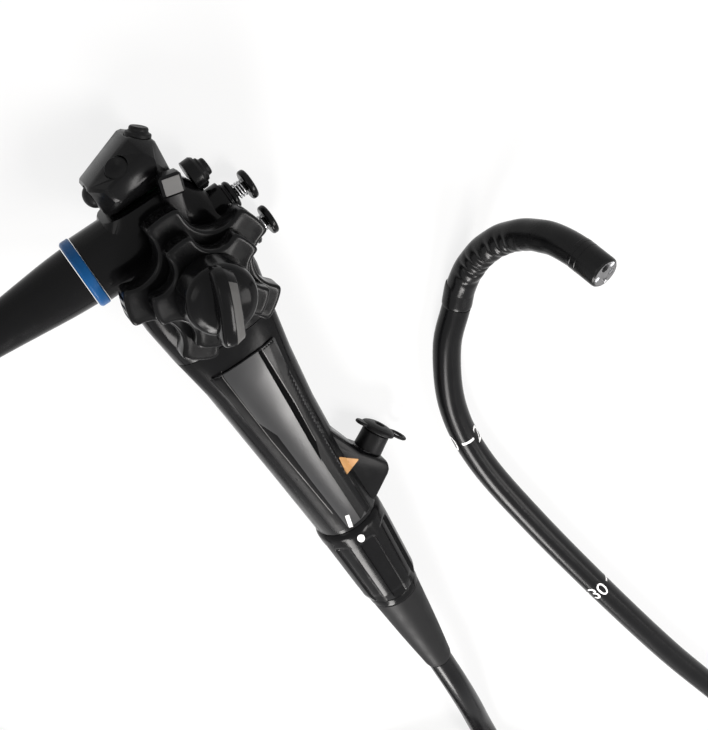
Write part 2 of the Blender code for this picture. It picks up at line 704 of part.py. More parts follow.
def make_switch_socket():
    point, direction, radius, _rise = SWITCHES[3]
    outer = radius + SOCKET_WALL
    foot = -SWITCH_POCKET - SOCKET_FLOOR
    profile = [(radius + BORE_GAP, 0.0), (radius + SOCKET_RIM, 0.0), (outer, -SOCKET_RIM), (outer, foot),
               (0.0, foot), (0.0, -SWITCH_POCKET), (radius + BORE_GAP, -SWITCH_POCKET)]
    item = turned_cup("switch_socket", profile, 18)
    axis = make_empty("switch_socket_axis", HANDLE, point, turn_to(direction))
    trim = body_block("trim", HOUSING_TOP + MERGE, HOUSING_SPLIT, -GAP)
    trim.matrix_world = axis_matrix(point, direction).inverted()
    boolean(item, trim)
    keep_largest(item)
    return place(item, "black_satin", axis)


def axis_matrix(point, direction):
    return Matrix.Translation(point) @ turn_to(direction).to_matrix().to_4x4()


def turned_cup(name, profile, around):
    # The profile starts at the rim and ends inside the cup, with its middle on the axis.
    first_axis = next(i for i, (radius, _height) in enumerate(profile) if radius == 0.0)
    ordered = profile[:first_axis + 1]
    inside = profile[first_axis + 1:]
    outer = turned(name, [(0.0, ordered[0][1])] + ordered, around)
    depth = inside[0][1]
    hollow = cylinder("hollow", inside[-1][0], depth, ordered[0][1] + 5 * MM, around)
    return boolean(outer, hollow)


def keep_largest(item):
    work = bmesh.new()
    work.from_mesh(item.data)
    islands = []
    left = set(work.verts)
    while left:
        stack = [left.pop()]
        island = list(stack)
        while stack:
            vertex = stack.pop()
            for edge in vertex.link_edges:
                other = edge.other_vert(vertex)
                if other in left:
                    left.remove(other)
                    stack.append(other)
                    island.append(other)
        islands.append(island)
    islands.sort(key=len)
    for island in islands[:-1]:
        bmesh.ops.delete(work, geom=island, context="VERTS")
    work.to_mesh(item.data)
    work.free()


def make_chassis():
    outline = [(x * MM, z * MM) for x, z in CHASSIS_OUTLINE]
    item = outline_prism("chassis_plate", outline, -PLATE_BACK, -PLATE_FRONT)
    bevel(item, (PLATE_BACK - PLATE_FRONT) / 5, 1, 60)
    return place(item, "aluminium", HANDLE, rotation=(math.radians(90), 0.0, 0.0))


def make_control_post():
    item = cylinder("control_post", POST_RADIUS, GAP - PLATE_FRONT, POST_TOP, 20)
    return place(item, "steel", CONTROL)


def make_drum(name, core, outer, low, high, knob_base):
    # A shaft tube with its wire drum: flanges either side of the groove.
    inner = core + BORE_GAP
    top = knob_base - GAP
    groove = DRUM_RADIUS - DRUM_GROOVE
    profile = [(inner, top), (outer, top), (outer, high), (DRUM_RADIUS, high),
               (DRUM_RADIUS, high - DRUM_FLANGE), (groove, high - DRUM_FLANGE), (groove, low + DRUM_FLANGE),
               (DRUM_RADIUS, low + DRUM_FLANGE), (DRUM_RADIUS, low), (inner, low)]
    item = turned(name, profile, 16)
    return place(item, "brass", CONTROL)


def knob_outline(radius, scallop_radius, scallop_centre, phase_deg):
    # Each lobe is an arc of the rim, and each scallop an arc round a centre outside it.
    half_sector = math.pi / KNOB_LOBES
    cosine = (scallop_centre ** 2 + radius ** 2 - scallop_radius ** 2) / (2 * scallop_centre * radius)
    cut = math.acos(cosine)
    outline = []
    for lobe in range(KNOB_LOBES):
        middle = math.radians(phase_deg) + 2 * half_sector * lobe
        reach = half_sector - cut
        for step in range(4):
            angle = middle + reach * (step / 3 * 2 - 1)
            outline.append(Vector((radius * math.cos(angle), radius * math.sin(angle))))
        valley = middle + half_sector
        centre = Vector((scallop_centre * math.cos(valley), scallop_centre * math.sin(valley)))
        start = outline[-1] - centre
        end_angle = valley + cut
        end = Vector((radius * math.cos(end_angle), radius * math.sin(end_angle))) - centre
        begin = math.atan2(start.y, start.x)
        sweep = (math.atan2(end.y, end.x) - begin) % (2 * math.pi) - 2 * math.pi
        for step in range(1, 8):
            angle = begin + sweep * step / 8
            outline.append(centre + scallop_radius * Vector((math.cos(angle), math.sin(angle))))
    return outline


def cut_ribs(item, radius, low, high, phase_deg):
    # Three grip notches across the rim of each lobe.
    for lobe in range(KNOB_LOBES):
        for offset in (-1, 0, 1):
            angle = math.radians(phase_deg + 360.0 / KNOB_LOBES * lobe) + offset * NOTCH_PITCH / radius
            notch = box("notch", (NOTCH_DEPTH, NOTCH_WIDTH, high - low - 2 * NOTCH_MARGIN))
            notch.location = (radius * math.cos(angle), radius * math.sin(angle), (low + high) / 2)
            notch.rotation_euler = (0.0, 0.0, angle)
            boolean(item, notch)


def make_ud_knob():
    outline = knob_outline(UD_KNOB_RADIUS, UD_SCALLOP_RADIUS, UD_SCALLOP_CENTRE, UD_KNOB_PHASE_DEG)
    item = outline_prism("ud_knob", outline, UD_KNOB_BASE, UD_KNOB_FACE)
    bevel(item, KNOB_BEVEL, 1, 50)
    recess = cylinder("recess", UD_RECESS_RADIUS, UD_KNOB_FACE - UD_RECESS_DEPTH, UD_KNOB_FACE + OVERCUT, 32)
    boolean(item, recess)
    boolean(item, cylinder("bore", RL_SHAFT_RADIUS + BORE_GAP, 0.0, DRILL_LENGTH, 20))
    cut_ribs(item, UD_KNOB_RADIUS, UD_KNOB_BASE, UD_KNOB_FACE, UD_KNOB_PHASE_DEG)
    return place(item, "black_satin", CONTROL)


def make_rl_knob():
    outline = knob_outline(RL_KNOB_RADIUS, RL_SCALLOP_RADIUS, RL_SCALLOP_CENTRE, RL_KNOB_PHASE_DEG)
    item = outline_prism("rl_knob", outline, RL_KNOB_BASE, RL_KNOB_FACE)
    bevel(item, KNOB_BEVEL, 1, 50)
    boolean(item, cylinder("bore", POST_RADIUS + BORE_GAP, 0.0, DRILL_LENGTH, 20))
    cut_ribs(item, RL_KNOB_RADIUS, RL_KNOB_BASE, RL_KNOB_FACE, RL_KNOB_PHASE_DEG)
    return place(item, "black_satin", CONTROL)


def make_lock_lever():
    # The hub ring turns on the housing under the larger knob; its arm ends in the thumb block.
    bore = UD_SHAFT_RADIUS + BORE_GAP
    hub = [(bore, LEVER_HIGH), (LEVER_HUB_RADIUS, LEVER_HIGH), (LEVER_HUB_RADIUS, LEVER_LOW), (bore, LEVER_LOW)]
    item = turned("ud_lock_lever", hub, 28)
    start = (LEVER_HUB_RADIUS + UD_SHAFT_RADIUS) / 2
    arm = box("arm", (LEVER_REACH - start, LEVER_ARM_WIDTH, LEVER_HIGH - LEVER_LOW - 2 * MERGE),
              ((LEVER_REACH + start) / 2, 0.0, (LEVER_HIGH + LEVER_LOW) / 2))
    turn = math.radians(LEVER_ANGLE_DEG)
    arm.rotation_euler = (0.0, 0.0, turn)
    boolean(item, arm, "UNION")
    length, breadth, height = LEVER_BLOCK
    middle = LEVER_HIGH - LEVER_BLOCK_SINK + height / 2
    block = box("block", (breadth, length, height), (LEVER_REACH, 0.0, middle))
    bevel(block, 1.0 * MM, 1)
    block.rotation_euler = (0.0, 0.0, turn)
    boolean(item, block, "UNION")
    return place(item, "black_satin", CONTROL)


def make_lock_knob():
    rim = LOCK_DISC_RADIUS
    profile = [(0.0, LOCK_DOME_TOP), (rim * 0.4, LOCK_DOME_TOP - 0.4 * MM),
               (rim * 0.74, LOCK_DOME_TOP - 1.6 * MM), (rim * 0.92, LOCK_DISC_RIM + 0.4 * MM),
               (rim, LOCK_DISC_RIM - 1.6 * MM), (rim + 0.8 * MM, LOCK_DISC_LOW), (0.0, LOCK_DISC_LOW)]
    item = turned("rl_lock_knob", profile, 24)
    # The bar's side outline: a short ramp at the marked end, a rising back, a nose past the rim.
    half = LOCK_BAR_LENGTH / 2
    foot = LOCK_DISC_RIM - LOCK_BAR_SINK
    side = [(-half + 1.5 * MM, foot), (half, foot),
            (half + 0.8 * MM, LOCK_BAR_TOP - 6 * MM), (half - 1.5 * MM, LOCK_BAR_TOP - 0.6 * MM),
            (2 * MM, LOCK_BAR_TOP), (-half + 7 * MM, LOCK_BAR_TOP - 1.6 * MM),
            (-half + 1.5 * MM, LOCK_BAR_TOP - 5.4 * MM)]
    bar = outline_prism("bar", side, -LOCK_BAR_WIDTH / 2, LOCK_BAR_WIDTH / 2)
    bevel(bar, 1.3 * MM, 1)
    upright = Matrix.Rotation(math.radians(90), 4, "X")
    bar.matrix_world = Matrix.Rotation(math.radians(LOCK_BAR_ANGLE_DEG), 4, "Z") @ upright
    boolean(item, bar, "UNION")
    boolean(item, cylinder("bore", POST_RADIUS + BORE_GAP, LOCK_DISC_LOW - OVERCUT, POST_TOP + GAP, 20))
    return place(item, "black_gloss", CONTROL)


def make_valves():
    for name, height in VALVE_HEIGHTS.items():
        axis = make_empty(f"{name}_axis", HANDLE, (0.0, 0.0, height), (0.0, math.radians(90), 0.0))
        seat = VALVE_SEAT_FACE + GAP
        floor = VALVE_ROOT + VALVE_FLOOR
        profile = [(VALVE_BORE, VALVE_TIP), (VALVE_RADIUS - VALVE_EDGE, VALVE_TIP),
                   (VALVE_RADIUS, VALVE_TIP - VALVE_EDGE), (VALVE_RADIUS, seat), (VALVE_NECK, seat),
                   (VALVE_NECK, VALVE_ROOT), (0.0, VALVE_ROOT), (0.0, floor), (VALVE_BORE, floor)]
        item = turned_cup(f"{name}_cylinder", profile, 20)
        place(item, "black_gloss", axis)
        make_button(name, axis)
        make_spring(name, axis)


def make_button(name, axis):
    back = BUTTON_FACE - BUTTON_THICKNESS
    foot = VALVE_ROOT + VALVE_FLOOR + BUTTON_TRAVEL + GAP
    plunger = VALVE_BORE - BORE_GAP
    profile = [(0.0, BUTTON_FACE - 0.7 * MM), (BUTTON_RADIUS * 0.5, BUTTON_FACE - 0.6 * MM),
               (BUTTON_RADIUS - 0.9 * MM, BUTTON_FACE), (BUTTON_RADIUS, BUTTON_FACE - 0.8 * MM),
               (BUTTON_RADIUS, back + 0.6 * MM), (BUTTON_RADIUS - 0.6 * MM, back), (STEM_RADIUS, back),
               (STEM_RADIUS, VALVE_TIP - VALVE_EDGE), (plunger, VALVE_TIP - 1.6 * MM - BUTTON_TRAVEL),
               (plunger, foot), (0.0, foot)]
    item = turned(f"{name}_button", profile, 20)
    return place(item, "black_satin", axis)


def make_spring(name, axis):
    low = VALVE_TIP + SPRING_WIRE + SPRING_GAP
    high = BUTTON_FACE - BUTTON_THICKNESS - SPRING_WIRE - SPRING_GAP
    count = int(SPRING_TURNS * 8)
    points = [(SPRING_RADIUS * math.cos(2 * math.pi * SPRING_TURNS * step / count),
               SPRING_RADIUS * math.sin(2 * math.pi * SPRING_TURNS * step / count),
               low + (high - low) * step / count) for step in range(count + 1)]
    item = tube_mesh(f"{name}_spring", points, 2 * SPRING_WIRE, 0)
    return place(item, "steel", axis)


def make_cord_outlet():
    axis = make_empty("cord_axis", HANDLE, (0.0, CORD_AXIS_Y, CORD_AXIS_Z), (0.0, math.radians(-90), 0.0))
    ring_start = -CORD_BOSS_END + GAP
    ring_end = -CORD_RING_END
    profile = [(CORD_BORE_RADIUS, ring_end), (CORD_RING_RADIUS - CORD_RING_EDGE, ring_end),
               (CORD_RING_RADIUS, ring_end - CORD_RING_EDGE), (CORD_RING_RADIUS, ring_start),
               (CORD_BORE_RADIUS, ring_start)]
    place(turned("cord_ring", profile, 24), "blue_plastic", axis)
    start = ring_end + GAP
    end = -CORD_BOOT_END
    span = end - start
    lip = CORD_DIAMETER / 2 + CORD_BOOT_LIP
    taper = CORD_BOOT_RADIUS - lip
    profile = [(CORD_BOOT_BORE, end), (lip, end), (lip + taper * 0.06, end - 1.5 * MM),
               (lip + taper * 0.48, start + span * 0.55), (lip + taper * 0.85, start + span * 0.2),
               (CORD_BOOT_RADIUS, start), (CORD_BOOT_BORE, start)]
    place(turned("cord_boot", profile, 24), "black_gloss", axis)


def make_ring_core():
    plug = CORE_RADIUS - CORE_PLUG_STEP
    profile = [(CORE_BORE, CORE_TOP), (plug, CORE_TOP), (plug, GRIP_END + 2 * OVERCUT),
               (CORE_RADIUS, GRIP_END + OVERCUT), (CORE_RADIUS, RING_BOTTOM), (CORE_BORE, RING_BOTTOM)]
    return place(turned("ring_core", profile, 24), "aluminium", HANDLE)


def make_stiffness_ring():
    crown = RING_TOP - RING_CROWN
    foot = RING_BOTTOM + RING_FOOT
    profile = [(RING_BORE_RADIUS, RING_TOP), (RING_TOP_RADIUS - 1.4 * MM, RING_TOP),
               (RING_TOP_RADIUS, RING_TOP - 3.4 * MM), (RING_TOP_RADIUS, crown),
               (RING_LOW_RADIUS, foot), (RING_LOW_RADIUS - 1.4 * MM, RING_BOTTOM + 0.4 * MM),
               (RING_LOW_RADIUS - 1.6 * MM, RING_BOTTOM), (RING_BORE_RADIUS, RING_BOTTOM)]
    item = turned("stiffness_ring", profile, 24)
    # Long shallow grip flats, cut by round bars that lean along the taper.
    lean = math.atan((RING_TOP_RADIUS - RING_LOW_RADIUS) / (crown - foot))
    middle = (crown + foot) / 2 - MM
    for step in range(RING_FLATS):
        angle = 2 * math.pi * (step + 0.5) / RING_FLATS
        bar = box("bar", (FLAT_THICKNESS, FLAT_WIDTH, FLAT_LENGTH))
        bevel(bar, FLAT_THICKNESS * 0.45, 1)
        distance = (RING_TOP_RADIUS + RING_LOW_RADIUS) / 2 + FLAT_RISE
        bar.matrix_world = (Matrix.Rotation(angle, 4, "Z")
                            @ Matrix.Translation((distance, 0.0, middle))
                            @ Matrix.Rotation(lean, 4, "Y"))
        boolean(item, bar)
    return place(item, "black_gloss", HANDLE)


def make_boot():
    collar = BOOT_RADIUS + BOOT_COLLAR_RISE
    profile = [(BOOT_BORE, RING_BOTTOM - GAP), (collar, RING_BOTTOM - GAP), (collar, BOOT_COLLAR_END),
               (BOOT_BORE, BOOT_COLLAR_END)]
    place(turned("boot_collar", profile, 24), "black_gloss", HANDLE)
    start = BOOT_COLLAR_END - GAP
    span = start - BOOT_END
    taper = BOOT_RADIUS - BOOT_END_RADIUS
    profile = [(BOOT_BORE, start), (BOOT_RADIUS, start), (BOOT_RADIUS - taper * 0.17, start - span * 0.18),
               (BOOT_RADIUS - taper * 0.54, start - span * 0.57), (BOOT_END_RADIUS, BOOT_END + MM),
               (BOOT_END_RADIUS - GAP, BOOT_END), (BOOT_BORE, BOOT_END)]
    place(turned("insertion_boot", profile, 24), "black_rubber", HANDLE)


def make_port():
    axis = make_empty("port_axis", HANDLE, PORT_POINT, turn_to(port_direction()))
    profile = [(PORT_TUBE_BORE, PORT_TUBE_RISE), (PORT_TUBE_RADIUS, PORT_TUBE_RISE),
               (PORT_TUBE_RADIUS, -PORT_TUBE_DEPTH), (PORT_TUBE_BORE, -PORT_TUBE_DEPTH)]
    place(turned("port_tube", profile, 16), "steel", axis)
    # The rubber valve is a cup over the tube, open below and slit for the forceps above.
    edge = 0.6 * MM
    inner = PORT_TUBE_RADIUS + BORE_GAP
    ceiling = PORT_TUBE_RISE + GAP
    profile = [(PORT_VALVE_SLIT, PORT_VALVE_RISE), (PORT_RADIUS - edge, PORT_VALVE_RISE),
               (PORT_RADIUS, PORT_VALVE_RISE - edge), (PORT_RADIUS + edge / 2, GAP), (inner, GAP),
               (inner, ceiling), (PORT_VALVE_SLIT, ceiling)]
    place(turned("port_valve", profile, 20), "black_rubber", axis)
    make_port_lid(axis)


def make_port_lid(axis):
    # A domed lid with a dimple, a finger tab on one side and a hinge loop on the other.
    profile = [(0.0, 2.0 * MM), (1.6 * MM, 2.1 * MM), (2.4 * MM, 3.2 * MM), (5.4 * MM, 3.0 * MM),
               (PORT_CAP_RADIUS - 0.8 * MM, 2.2 * MM), (PORT_CAP_RADIUS, 1.2 * MM),
               (PORT_CAP_RADIUS, 0.4 * MM), (PORT_CAP_RADIUS - 0.5 * MM, 0.0), (0.0, 0.0)]
    item = turned("port_lid", profile, 18)
    tab = cylinder("tab", TAB_RADIUS, LOOP_LOW, LOOP_HIGH, 12)
    tab.location = (-PORT_CAP_RADIUS - TAB_PLACE, 0.0, 0.0)
    boolean(item, tab, "UNION")
    loop = turned("loop", [(LOOP_BORE, LOOP_HIGH), (LOOP_RADIUS, LOOP_HIGH), (LOOP_RADIUS, LOOP_LOW),
                           (LOOP_BORE, LOOP_LOW)], 12)
    loop.location = (PORT_CAP_RADIUS + LOOP_PLACE, 0.0, 0.0)
    boolean(item, loop, "UNION")
    hinge_point = (PORT_CAP_RADIUS + HINGE_PLACE, 0.0, PORT_VALVE_RISE + GAP)
    for vertex in item.data.vertices:
        vertex.co.x -= hinge_point[0]
    hinge = make_empty("port_lid_axis", axis, hinge_point)
    place(item, "black_rubber", hinge)


def make_inner_lines():
    lines = (("channel_tube", CHANNEL_ROUTE, CHANNEL_STEP, CHANNEL_DIAMETER),
             ("light_guide_bundle", BUNDLE_ROUTE, BUNDLE_STEP, BUNDLE_DIAMETER))
    for name, route, spacing, diameter in lines:
        item = tube_mesh(name, smooth_route(to_metres(route), spacing), diameter, 1)
        place(item, "fibre", HANDLE)


def coil_profile(diameter, layers):
    # Turns one on another: the outer sides run down, then the inner sides run up.
    half = diameter / 2
    heights = [half + LAYER_STEP * layer for layer in range(layers)]
    angles = [math.radians(angle) for angle in LAYER_ANGLES_DEG]
    outer = [(COIL_RADIUS, heights[-1] + half)]
    inner = []
    for height in reversed(heights):
        outer += [(COIL_RADIUS + half * math.cos(a), height + half * math.sin(a)) for a in angles]
    for height in heights:
        inner += [(COIL_RADIUS - half * math.cos(a), height + half * math.sin(a)) for a in reversed(angles)]
    return outer + [(COIL_RADIUS, 0.0)] + inner


def make_coil(name, centre, diameter, layers):
    item = turned(name, coil_profile(diameter, layers), 24)
    return place(item, "cord_rubber", ROOT, centre)


def to_metres(route):
    return [(x * MM, y * MM, z * MM) for x, y, z in route]


def make_cords():
    cords = (("insertion_tube_near", TUBE_ENTRY_ROUTE, TUBE_STEP, TUBE_DIAMETER),
             ("insertion_tube_far", TUBE_EXIT_ROUTE, TUBE_STEP, TUBE_DIAMETER),
             ("universal_cord_near", CORD_ROUTE, CORD_STEP, CORD_DIAMETER),
             ("universal_cord_far", CORD_END_ROUTE, CORD_STEP, CORD_DIAMETER))
    for name, route, spacing, diameter in cords:
        item = tube_mesh(name, smooth_route(to_metres(route), spacing), diameter, 2)
        place(item, "cord_rubber", ROOT)
    make_coil("insertion_coil", TUBE_COIL_CENTRE, TUBE_DIAMETER, TUBE_COIL_LAYERS)
    make_coil("universal_coil", CORD_COIL_CENTRE, CORD_DIAMETER, CORD_COIL_LAYERS)


def make_connector():
    heading = (0.0, math.radians(90), math.radians(CONNECTOR_HEADING_DEG))
    axis = make_empty("connector_axis", ROOT, CONNECTOR_START, heading)
    end = CONNECTOR_BOOT_LENGTH
    lip = CORD_DIAMETER / 2 + CORD_BOOT_LIP
    wide = CONNECTOR_BOOT_RADIUS
    profile = [(CORD_BOOT_BORE, end), (wide, end), (wide * 0.94, end * 0.81), (wide * 0.62, end * 0.29),
               (lip, 0.0), (CORD_BOOT_BORE, 0.0)]
    place(turned("connector_boot", profile, 20), "black_rubber", axis)
    low = CONNECTOR_BOOT_LENGTH + GAP
    high = low + CONNECTOR_LENGTH
    radius = CONNECTOR_RADIUS
    nose = radius - CONNECTOR_NOSE
    step = high - CONNECTOR_NOSE
    edge = 2 * MM
    profile = [(0.0, high), (nose, high), (nose, step), (radius - edge, step), (radius, step - edge),
               (radius, low + CONNECTOR_TAPER), (radius * 0.78, low + 2 * edge), (wide, low), (0.0, low)]
    body = turned("connector_body", profile, 24)
    face = radius + SOCKET_SEAT_RISE
    socket_seat = cylinder("socket_seat", SOCKET_SEAT_RADIUS, radius / 2, face, 20)
    socket_turn = (0.0, math.radians(-90), 0.0)
    socket_seat.rotation_euler = socket_turn
    socket_seat.location = (0.0, 0.0, low + SOCKET_PLACE)
    boolean(body, socket_seat, "UNION")
    place(body, "black_gloss", axis)
    foot = high + GAP
    tip = foot + PIN_LENGTH
    shoulder = foot + PIN_ROOT_LENGTH
    profile = [(0.0, tip), (PIN_TIP_RADIUS - 0.4 * MM, tip), (PIN_TIP_RADIUS, tip - MM),
               (PIN_TIP_RADIUS, shoulder + MM), (PIN_ROOT_RADIUS, shoulder), (PIN_ROOT_RADIUS, foot), (0.0, foot)]
    place(turned("light_guide_pin", profile, 16), "steel", axis)
    socket_axis = make_empty("socket_axis", axis, (0.0, 0.0, low + SOCKET_PLACE), socket_turn)
    foot = face + GAP
    top = foot + SOCKET_HEIGHT
    edge = 1.5 * MM
    profile = [(0.0, top), (SOCKET_RADIUS - edge, top), (SOCKET_RADIUS, top - edge), (SOCKET_RADIUS, foot), (0.0, foot)]
    place(turned("electrical_socket", profile, 16), "steel", socket_axis)


def link_gap(name, half_gap_deg, along_x, end_height=None):
    # The wedge of room that a hinge needs beside one face of a link.
    reach = LINK_RADIUS + EAR_RADIUS
    rise = reach * math.tan(math.radians(half_gap_deg))
    outline = [(-reach, rise + HINGE_OFFSET), (0.0, HINGE_OFFSET), (reach, rise + HINGE_OFFSET),
               (reach, -reach), (-reach, -reach)]
    wedge = outline_prism(name, outline, -reach, reach)
    turn = Matrix.Rotation(math.radians(90), 4, "X")
    if along_x:
        turn = Matrix.Rotation(math.radians(90), 4, "Z") @ turn
    if end_height is not None:
        turn = Matrix.Translation((0.0, 0.0, end_height)) @ Matrix.Rotation(math.radians(180), 4, "X") @ turn
    wedge.matrix_world = turn
    return wedge


def crossbar(name, radius, near, far, along_x, height, side):
    bar = cylinder(name, radius, near, far, 8)
    direction = (side, 0.0, 0.0) if along_x else (0.0, side, 0.0)
    return aimed(bar, (0.0, 0.0, height), direction)


def add_inner_ears(item, along_x, height):
    for side in (-1.0, 1.0):
        where = (along_x, height, side)
        ear = crossbar("ear", EAR_RADIUS, LINK_BORE - EAR_SINK, EAR_SPLIT + EAR_SINK, *where)
        boolean(item, ear, "UNION")
        boolean(item, crossbar("relief", EAR_RADIUS + GAP, EAR_SPLIT, EAR_REACH, *where))
        boolean(item, crossbar("pin", PIN_RADIUS, LINK_BORE, LINK_RADIUS - PIN_SINK, *where), "UNION")


def add_outer_ears(item, along_x, height):
    inner = EAR_SPLIT + GAP
    for side in (-1.0, 1.0):
        where = (along_x, height, side)
        ear = crossbar("ear", EAR_RADIUS, inner - EAR_SINK, LINK_RADIUS - PIN_SINK / 2, *where)
        boolean(item, ear, "UNION")
        boolean(item, crossbar("relief", EAR_RADIUS + GAP, EAR_RADIUS, inner, *where))
        boolean(item, crossbar("hole", PIN_RADIUS + GAP, LINK_BORE - EAR_SINK, EAR_REACH, *where))


def link_ring(name, low, high):
    profile = [(LINK_BORE, high), (LINK_RADIUS, high), (LINK_RADIUS, low), (LINK_BORE, low)]
    return turned(name, profile, LINK_SIDE_COUNT)


def make_link_mesh(first_is_ud):
    # One vertebra: inner ears and their wedge at its start, outer ears and their wedge at its end.
    start_gap = UD_HALF_GAP_DEG if first_is_ud else RL_HALF_GAP_DEG
    end_gap = RL_HALF_GAP_DEG if first_is_ud else UD_HALF_GAP_DEG
    item = link_ring("link", 0.0, LINK_PITCH)
    boolean(item, link_gap("wedge", start_gap, True))
    boolean(item, link_gap("wedge", end_gap, False, LINK_PITCH))
    add_inner_ears(item, True, 0.0)
    add_outer_ears(item, False, LINK_PITCH)
    mesh = item.data
    bpy.data.objects.remove(item, do_unlink=True)
    return mesh


def bend_frame():
    # The bending section starts along its heading and bends in a plane that leans over the table.
    heading = math.radians(BEND_HEADING_DEG)
    tilt = math.radians(BEND_TILT_DEG)
    forward = Vector((math.cos(heading), math.sin(heading), 0.0))
    side = Vector((math.sin(heading), -math.cos(heading), 0.0))
    up = side * math.cos(tilt) + Vector((0.0, 0.0, math.sin(tilt)))
    across = up.cross(forward)
    frame = Matrix((across, up, forward)).transposed().to_4x4()
    frame.translation = BEND_BASE
    return frame


def make_bending_section():
    # Frames run along Z; the up-down hinges turn about local X and the right-left ones about Y.
    frame = bend_frame()
    base = make_bending_base()
    base.matrix_world = frame
    set_parent(base, ROOT, "black_rubber")
    frame = frame @ Matrix.Translation((0.0, 0.0, BASE_LENGTH))
    meshes = {True: make_link_mesh(True), False: make_link_mesh(False)}
    for number in range(LINK_COUNT):
        is_ud = number % 2 == 0
        if is_ud:
            frame = frame @ Matrix.Rotation(-math.radians(REST_BEND_DEG), 4, "X")
        item = add_object(f"bending_link_{number + 1}", meshes[is_ud].copy())
        turn = Matrix.Identity(4) if is_ud else Matrix.Rotation(math.radians(90), 4, "Z")
        item.matrix_world = frame @ turn
        set_parent(item, ROOT, "steel")
        frame = frame @ Matrix.Translation((0.0, 0.0, LINK_PITCH))
    frame = frame @ Matrix.Rotation(-math.radians(REST_BEND_DEG), 4, "X")
    make_distal_tip(frame)


def set_parent(item, parent, material):
    matrix = item.matrix_world.copy()
    item.parent = parent
    item.matrix_world = parent.matrix_world @ matrix
    item.data.materials.clear()
    item.data.materials.append(MATERIALS[material])
    shade_smooth(item)


def make_bending_base():
    # The band over the tube's end carries the first pair of outer ears.
    band = TUBE_DIAMETER / 2 + BASE_BAND_RISE
    step = BASE_BAND_LENGTH + band - LINK_RADIUS
    profile = [(LINK_BORE, BASE_LENGTH), (LINK_RADIUS, BASE_LENGTH), (LINK_RADIUS, step), (band, BASE_BAND_LENGTH),
               (band, GAP), (LINK_BORE, GAP)]
    item = turned("bending_base", profile, LINK_SIDE_COUNT)
    boolean(item, link_gap("wedge", UD_HALF_GAP_DEG, True, BASE_LENGTH))
    add_outer_ears(item, True, BASE_LENGTH)
    return item


def make_distal_tip(frame):
    step = TIP_SHOULDER + TIP_RADIUS - LINK_RADIUS
    profile = [(0.0, TIP_LENGTH), (TIP_RADIUS - TIP_EDGE, TIP_LENGTH), (TIP_RADIUS, TIP_LENGTH - TIP_EDGE),
               (TIP_RADIUS, step), (LINK_RADIUS, TIP_SHOULDER), (LINK_RADIUS, 0.0), (0.0, 0.0)]
    item = turned("distal_tip", profile, 20)
    boolean(item, cylinder("room", LINK_BORE, -OVERCUT, TIP_SHOULDER, LINK_SIDE_COUNT))
    boolean(item, link_gap("wedge", UD_HALF_GAP_DEG, True))
    add_inner_ears(item, True, 0.0)
    for point, radius in TIP_PIECES.values():
        pocket = cylinder("pocket", radius + LENS_GAP, TIP_LENGTH - LENS_DEPTH, TIP_LENGTH + OVERCUT, 10)
        pocket.location = point
        boolean(item, pocket)
    channel = cylinder("channel", TIP_CHANNEL[1], TIP_SHOULDER / 2, TIP_LENGTH + OVERCUT, 14)
    channel.location = TIP_CHANNEL[0]
    boolean(item, channel)
    item.matrix_world = frame
    set_parent(item, ROOT, "tip_grey")
    for name, (point, radius) in TIP_PIECES.items():
        rise = NOZZLE_RISE if name == "spray_nozzle" else -LENS_SINK
        low = TIP_LENGTH - LENS_DEPTH + LENS_GAP
        lens = cylinder(name, radius, low, TIP_LENGTH + rise, 10)
        lens.matrix_world = frame @ Matrix.Translation(point)
        set_parent(lens, ROOT, "steel" if name == "spray_nozzle" else "lens")


clear_scene()
PARTS = make_collection("flexible_endoscope")
MATERIALS = make_materials()
ROOT = make_empty("endoscope_root", location=(-ORIGIN_X, -ORIGIN_Y, 0.0))
HANDLE = make_empty("control_body_frame", ROOT, (0.0, 0.0, HANDLE_HEIGHT),
                    (math.radians(-90), math.radians(HANDLE_ROLL_DEG), 0.0))
CONTROL = make_empty("control_axis", HANDLE, rotation=(math.radians(90), 0.0, 0.0))
bpy.context.view_layer.update()

make_upper_housing()
make_grip_shell()
make_grip_panel()
make_switch_box()
make_switch_board()
make_switch_socket()
make_switches()
make_chassis()
make_control_post()
make_drum("ud_drum", RL_SHAFT_RADIUS, UD_SHAFT_RADIUS, UD_DRUM_LOW, UD_DRUM_HIGH, UD_KNOB_BASE)
make_drum("rl_drum", POST_RADIUS, RL_SHAFT_RADIUS, RL_DRUM_LOW, RL_DRUM_HIGH, RL_KNOB_BASE)
make_ud_knob()
make_rl_knob()
make_lock_lever()
make_lock_knob()
make_valves()
make_cord_outlet()
make_ring_core()
make_stiffness_ring()
make_boot()
make_port()
make_inner_lines()
make_cords()
make_connector()
make_bending_section()
bpy.context.view_layer.update()
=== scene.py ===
import json
import math

import bmesh
import bpy
from mathutils import Matrix, Vector
from mathutils.bvhtree import BVHTree

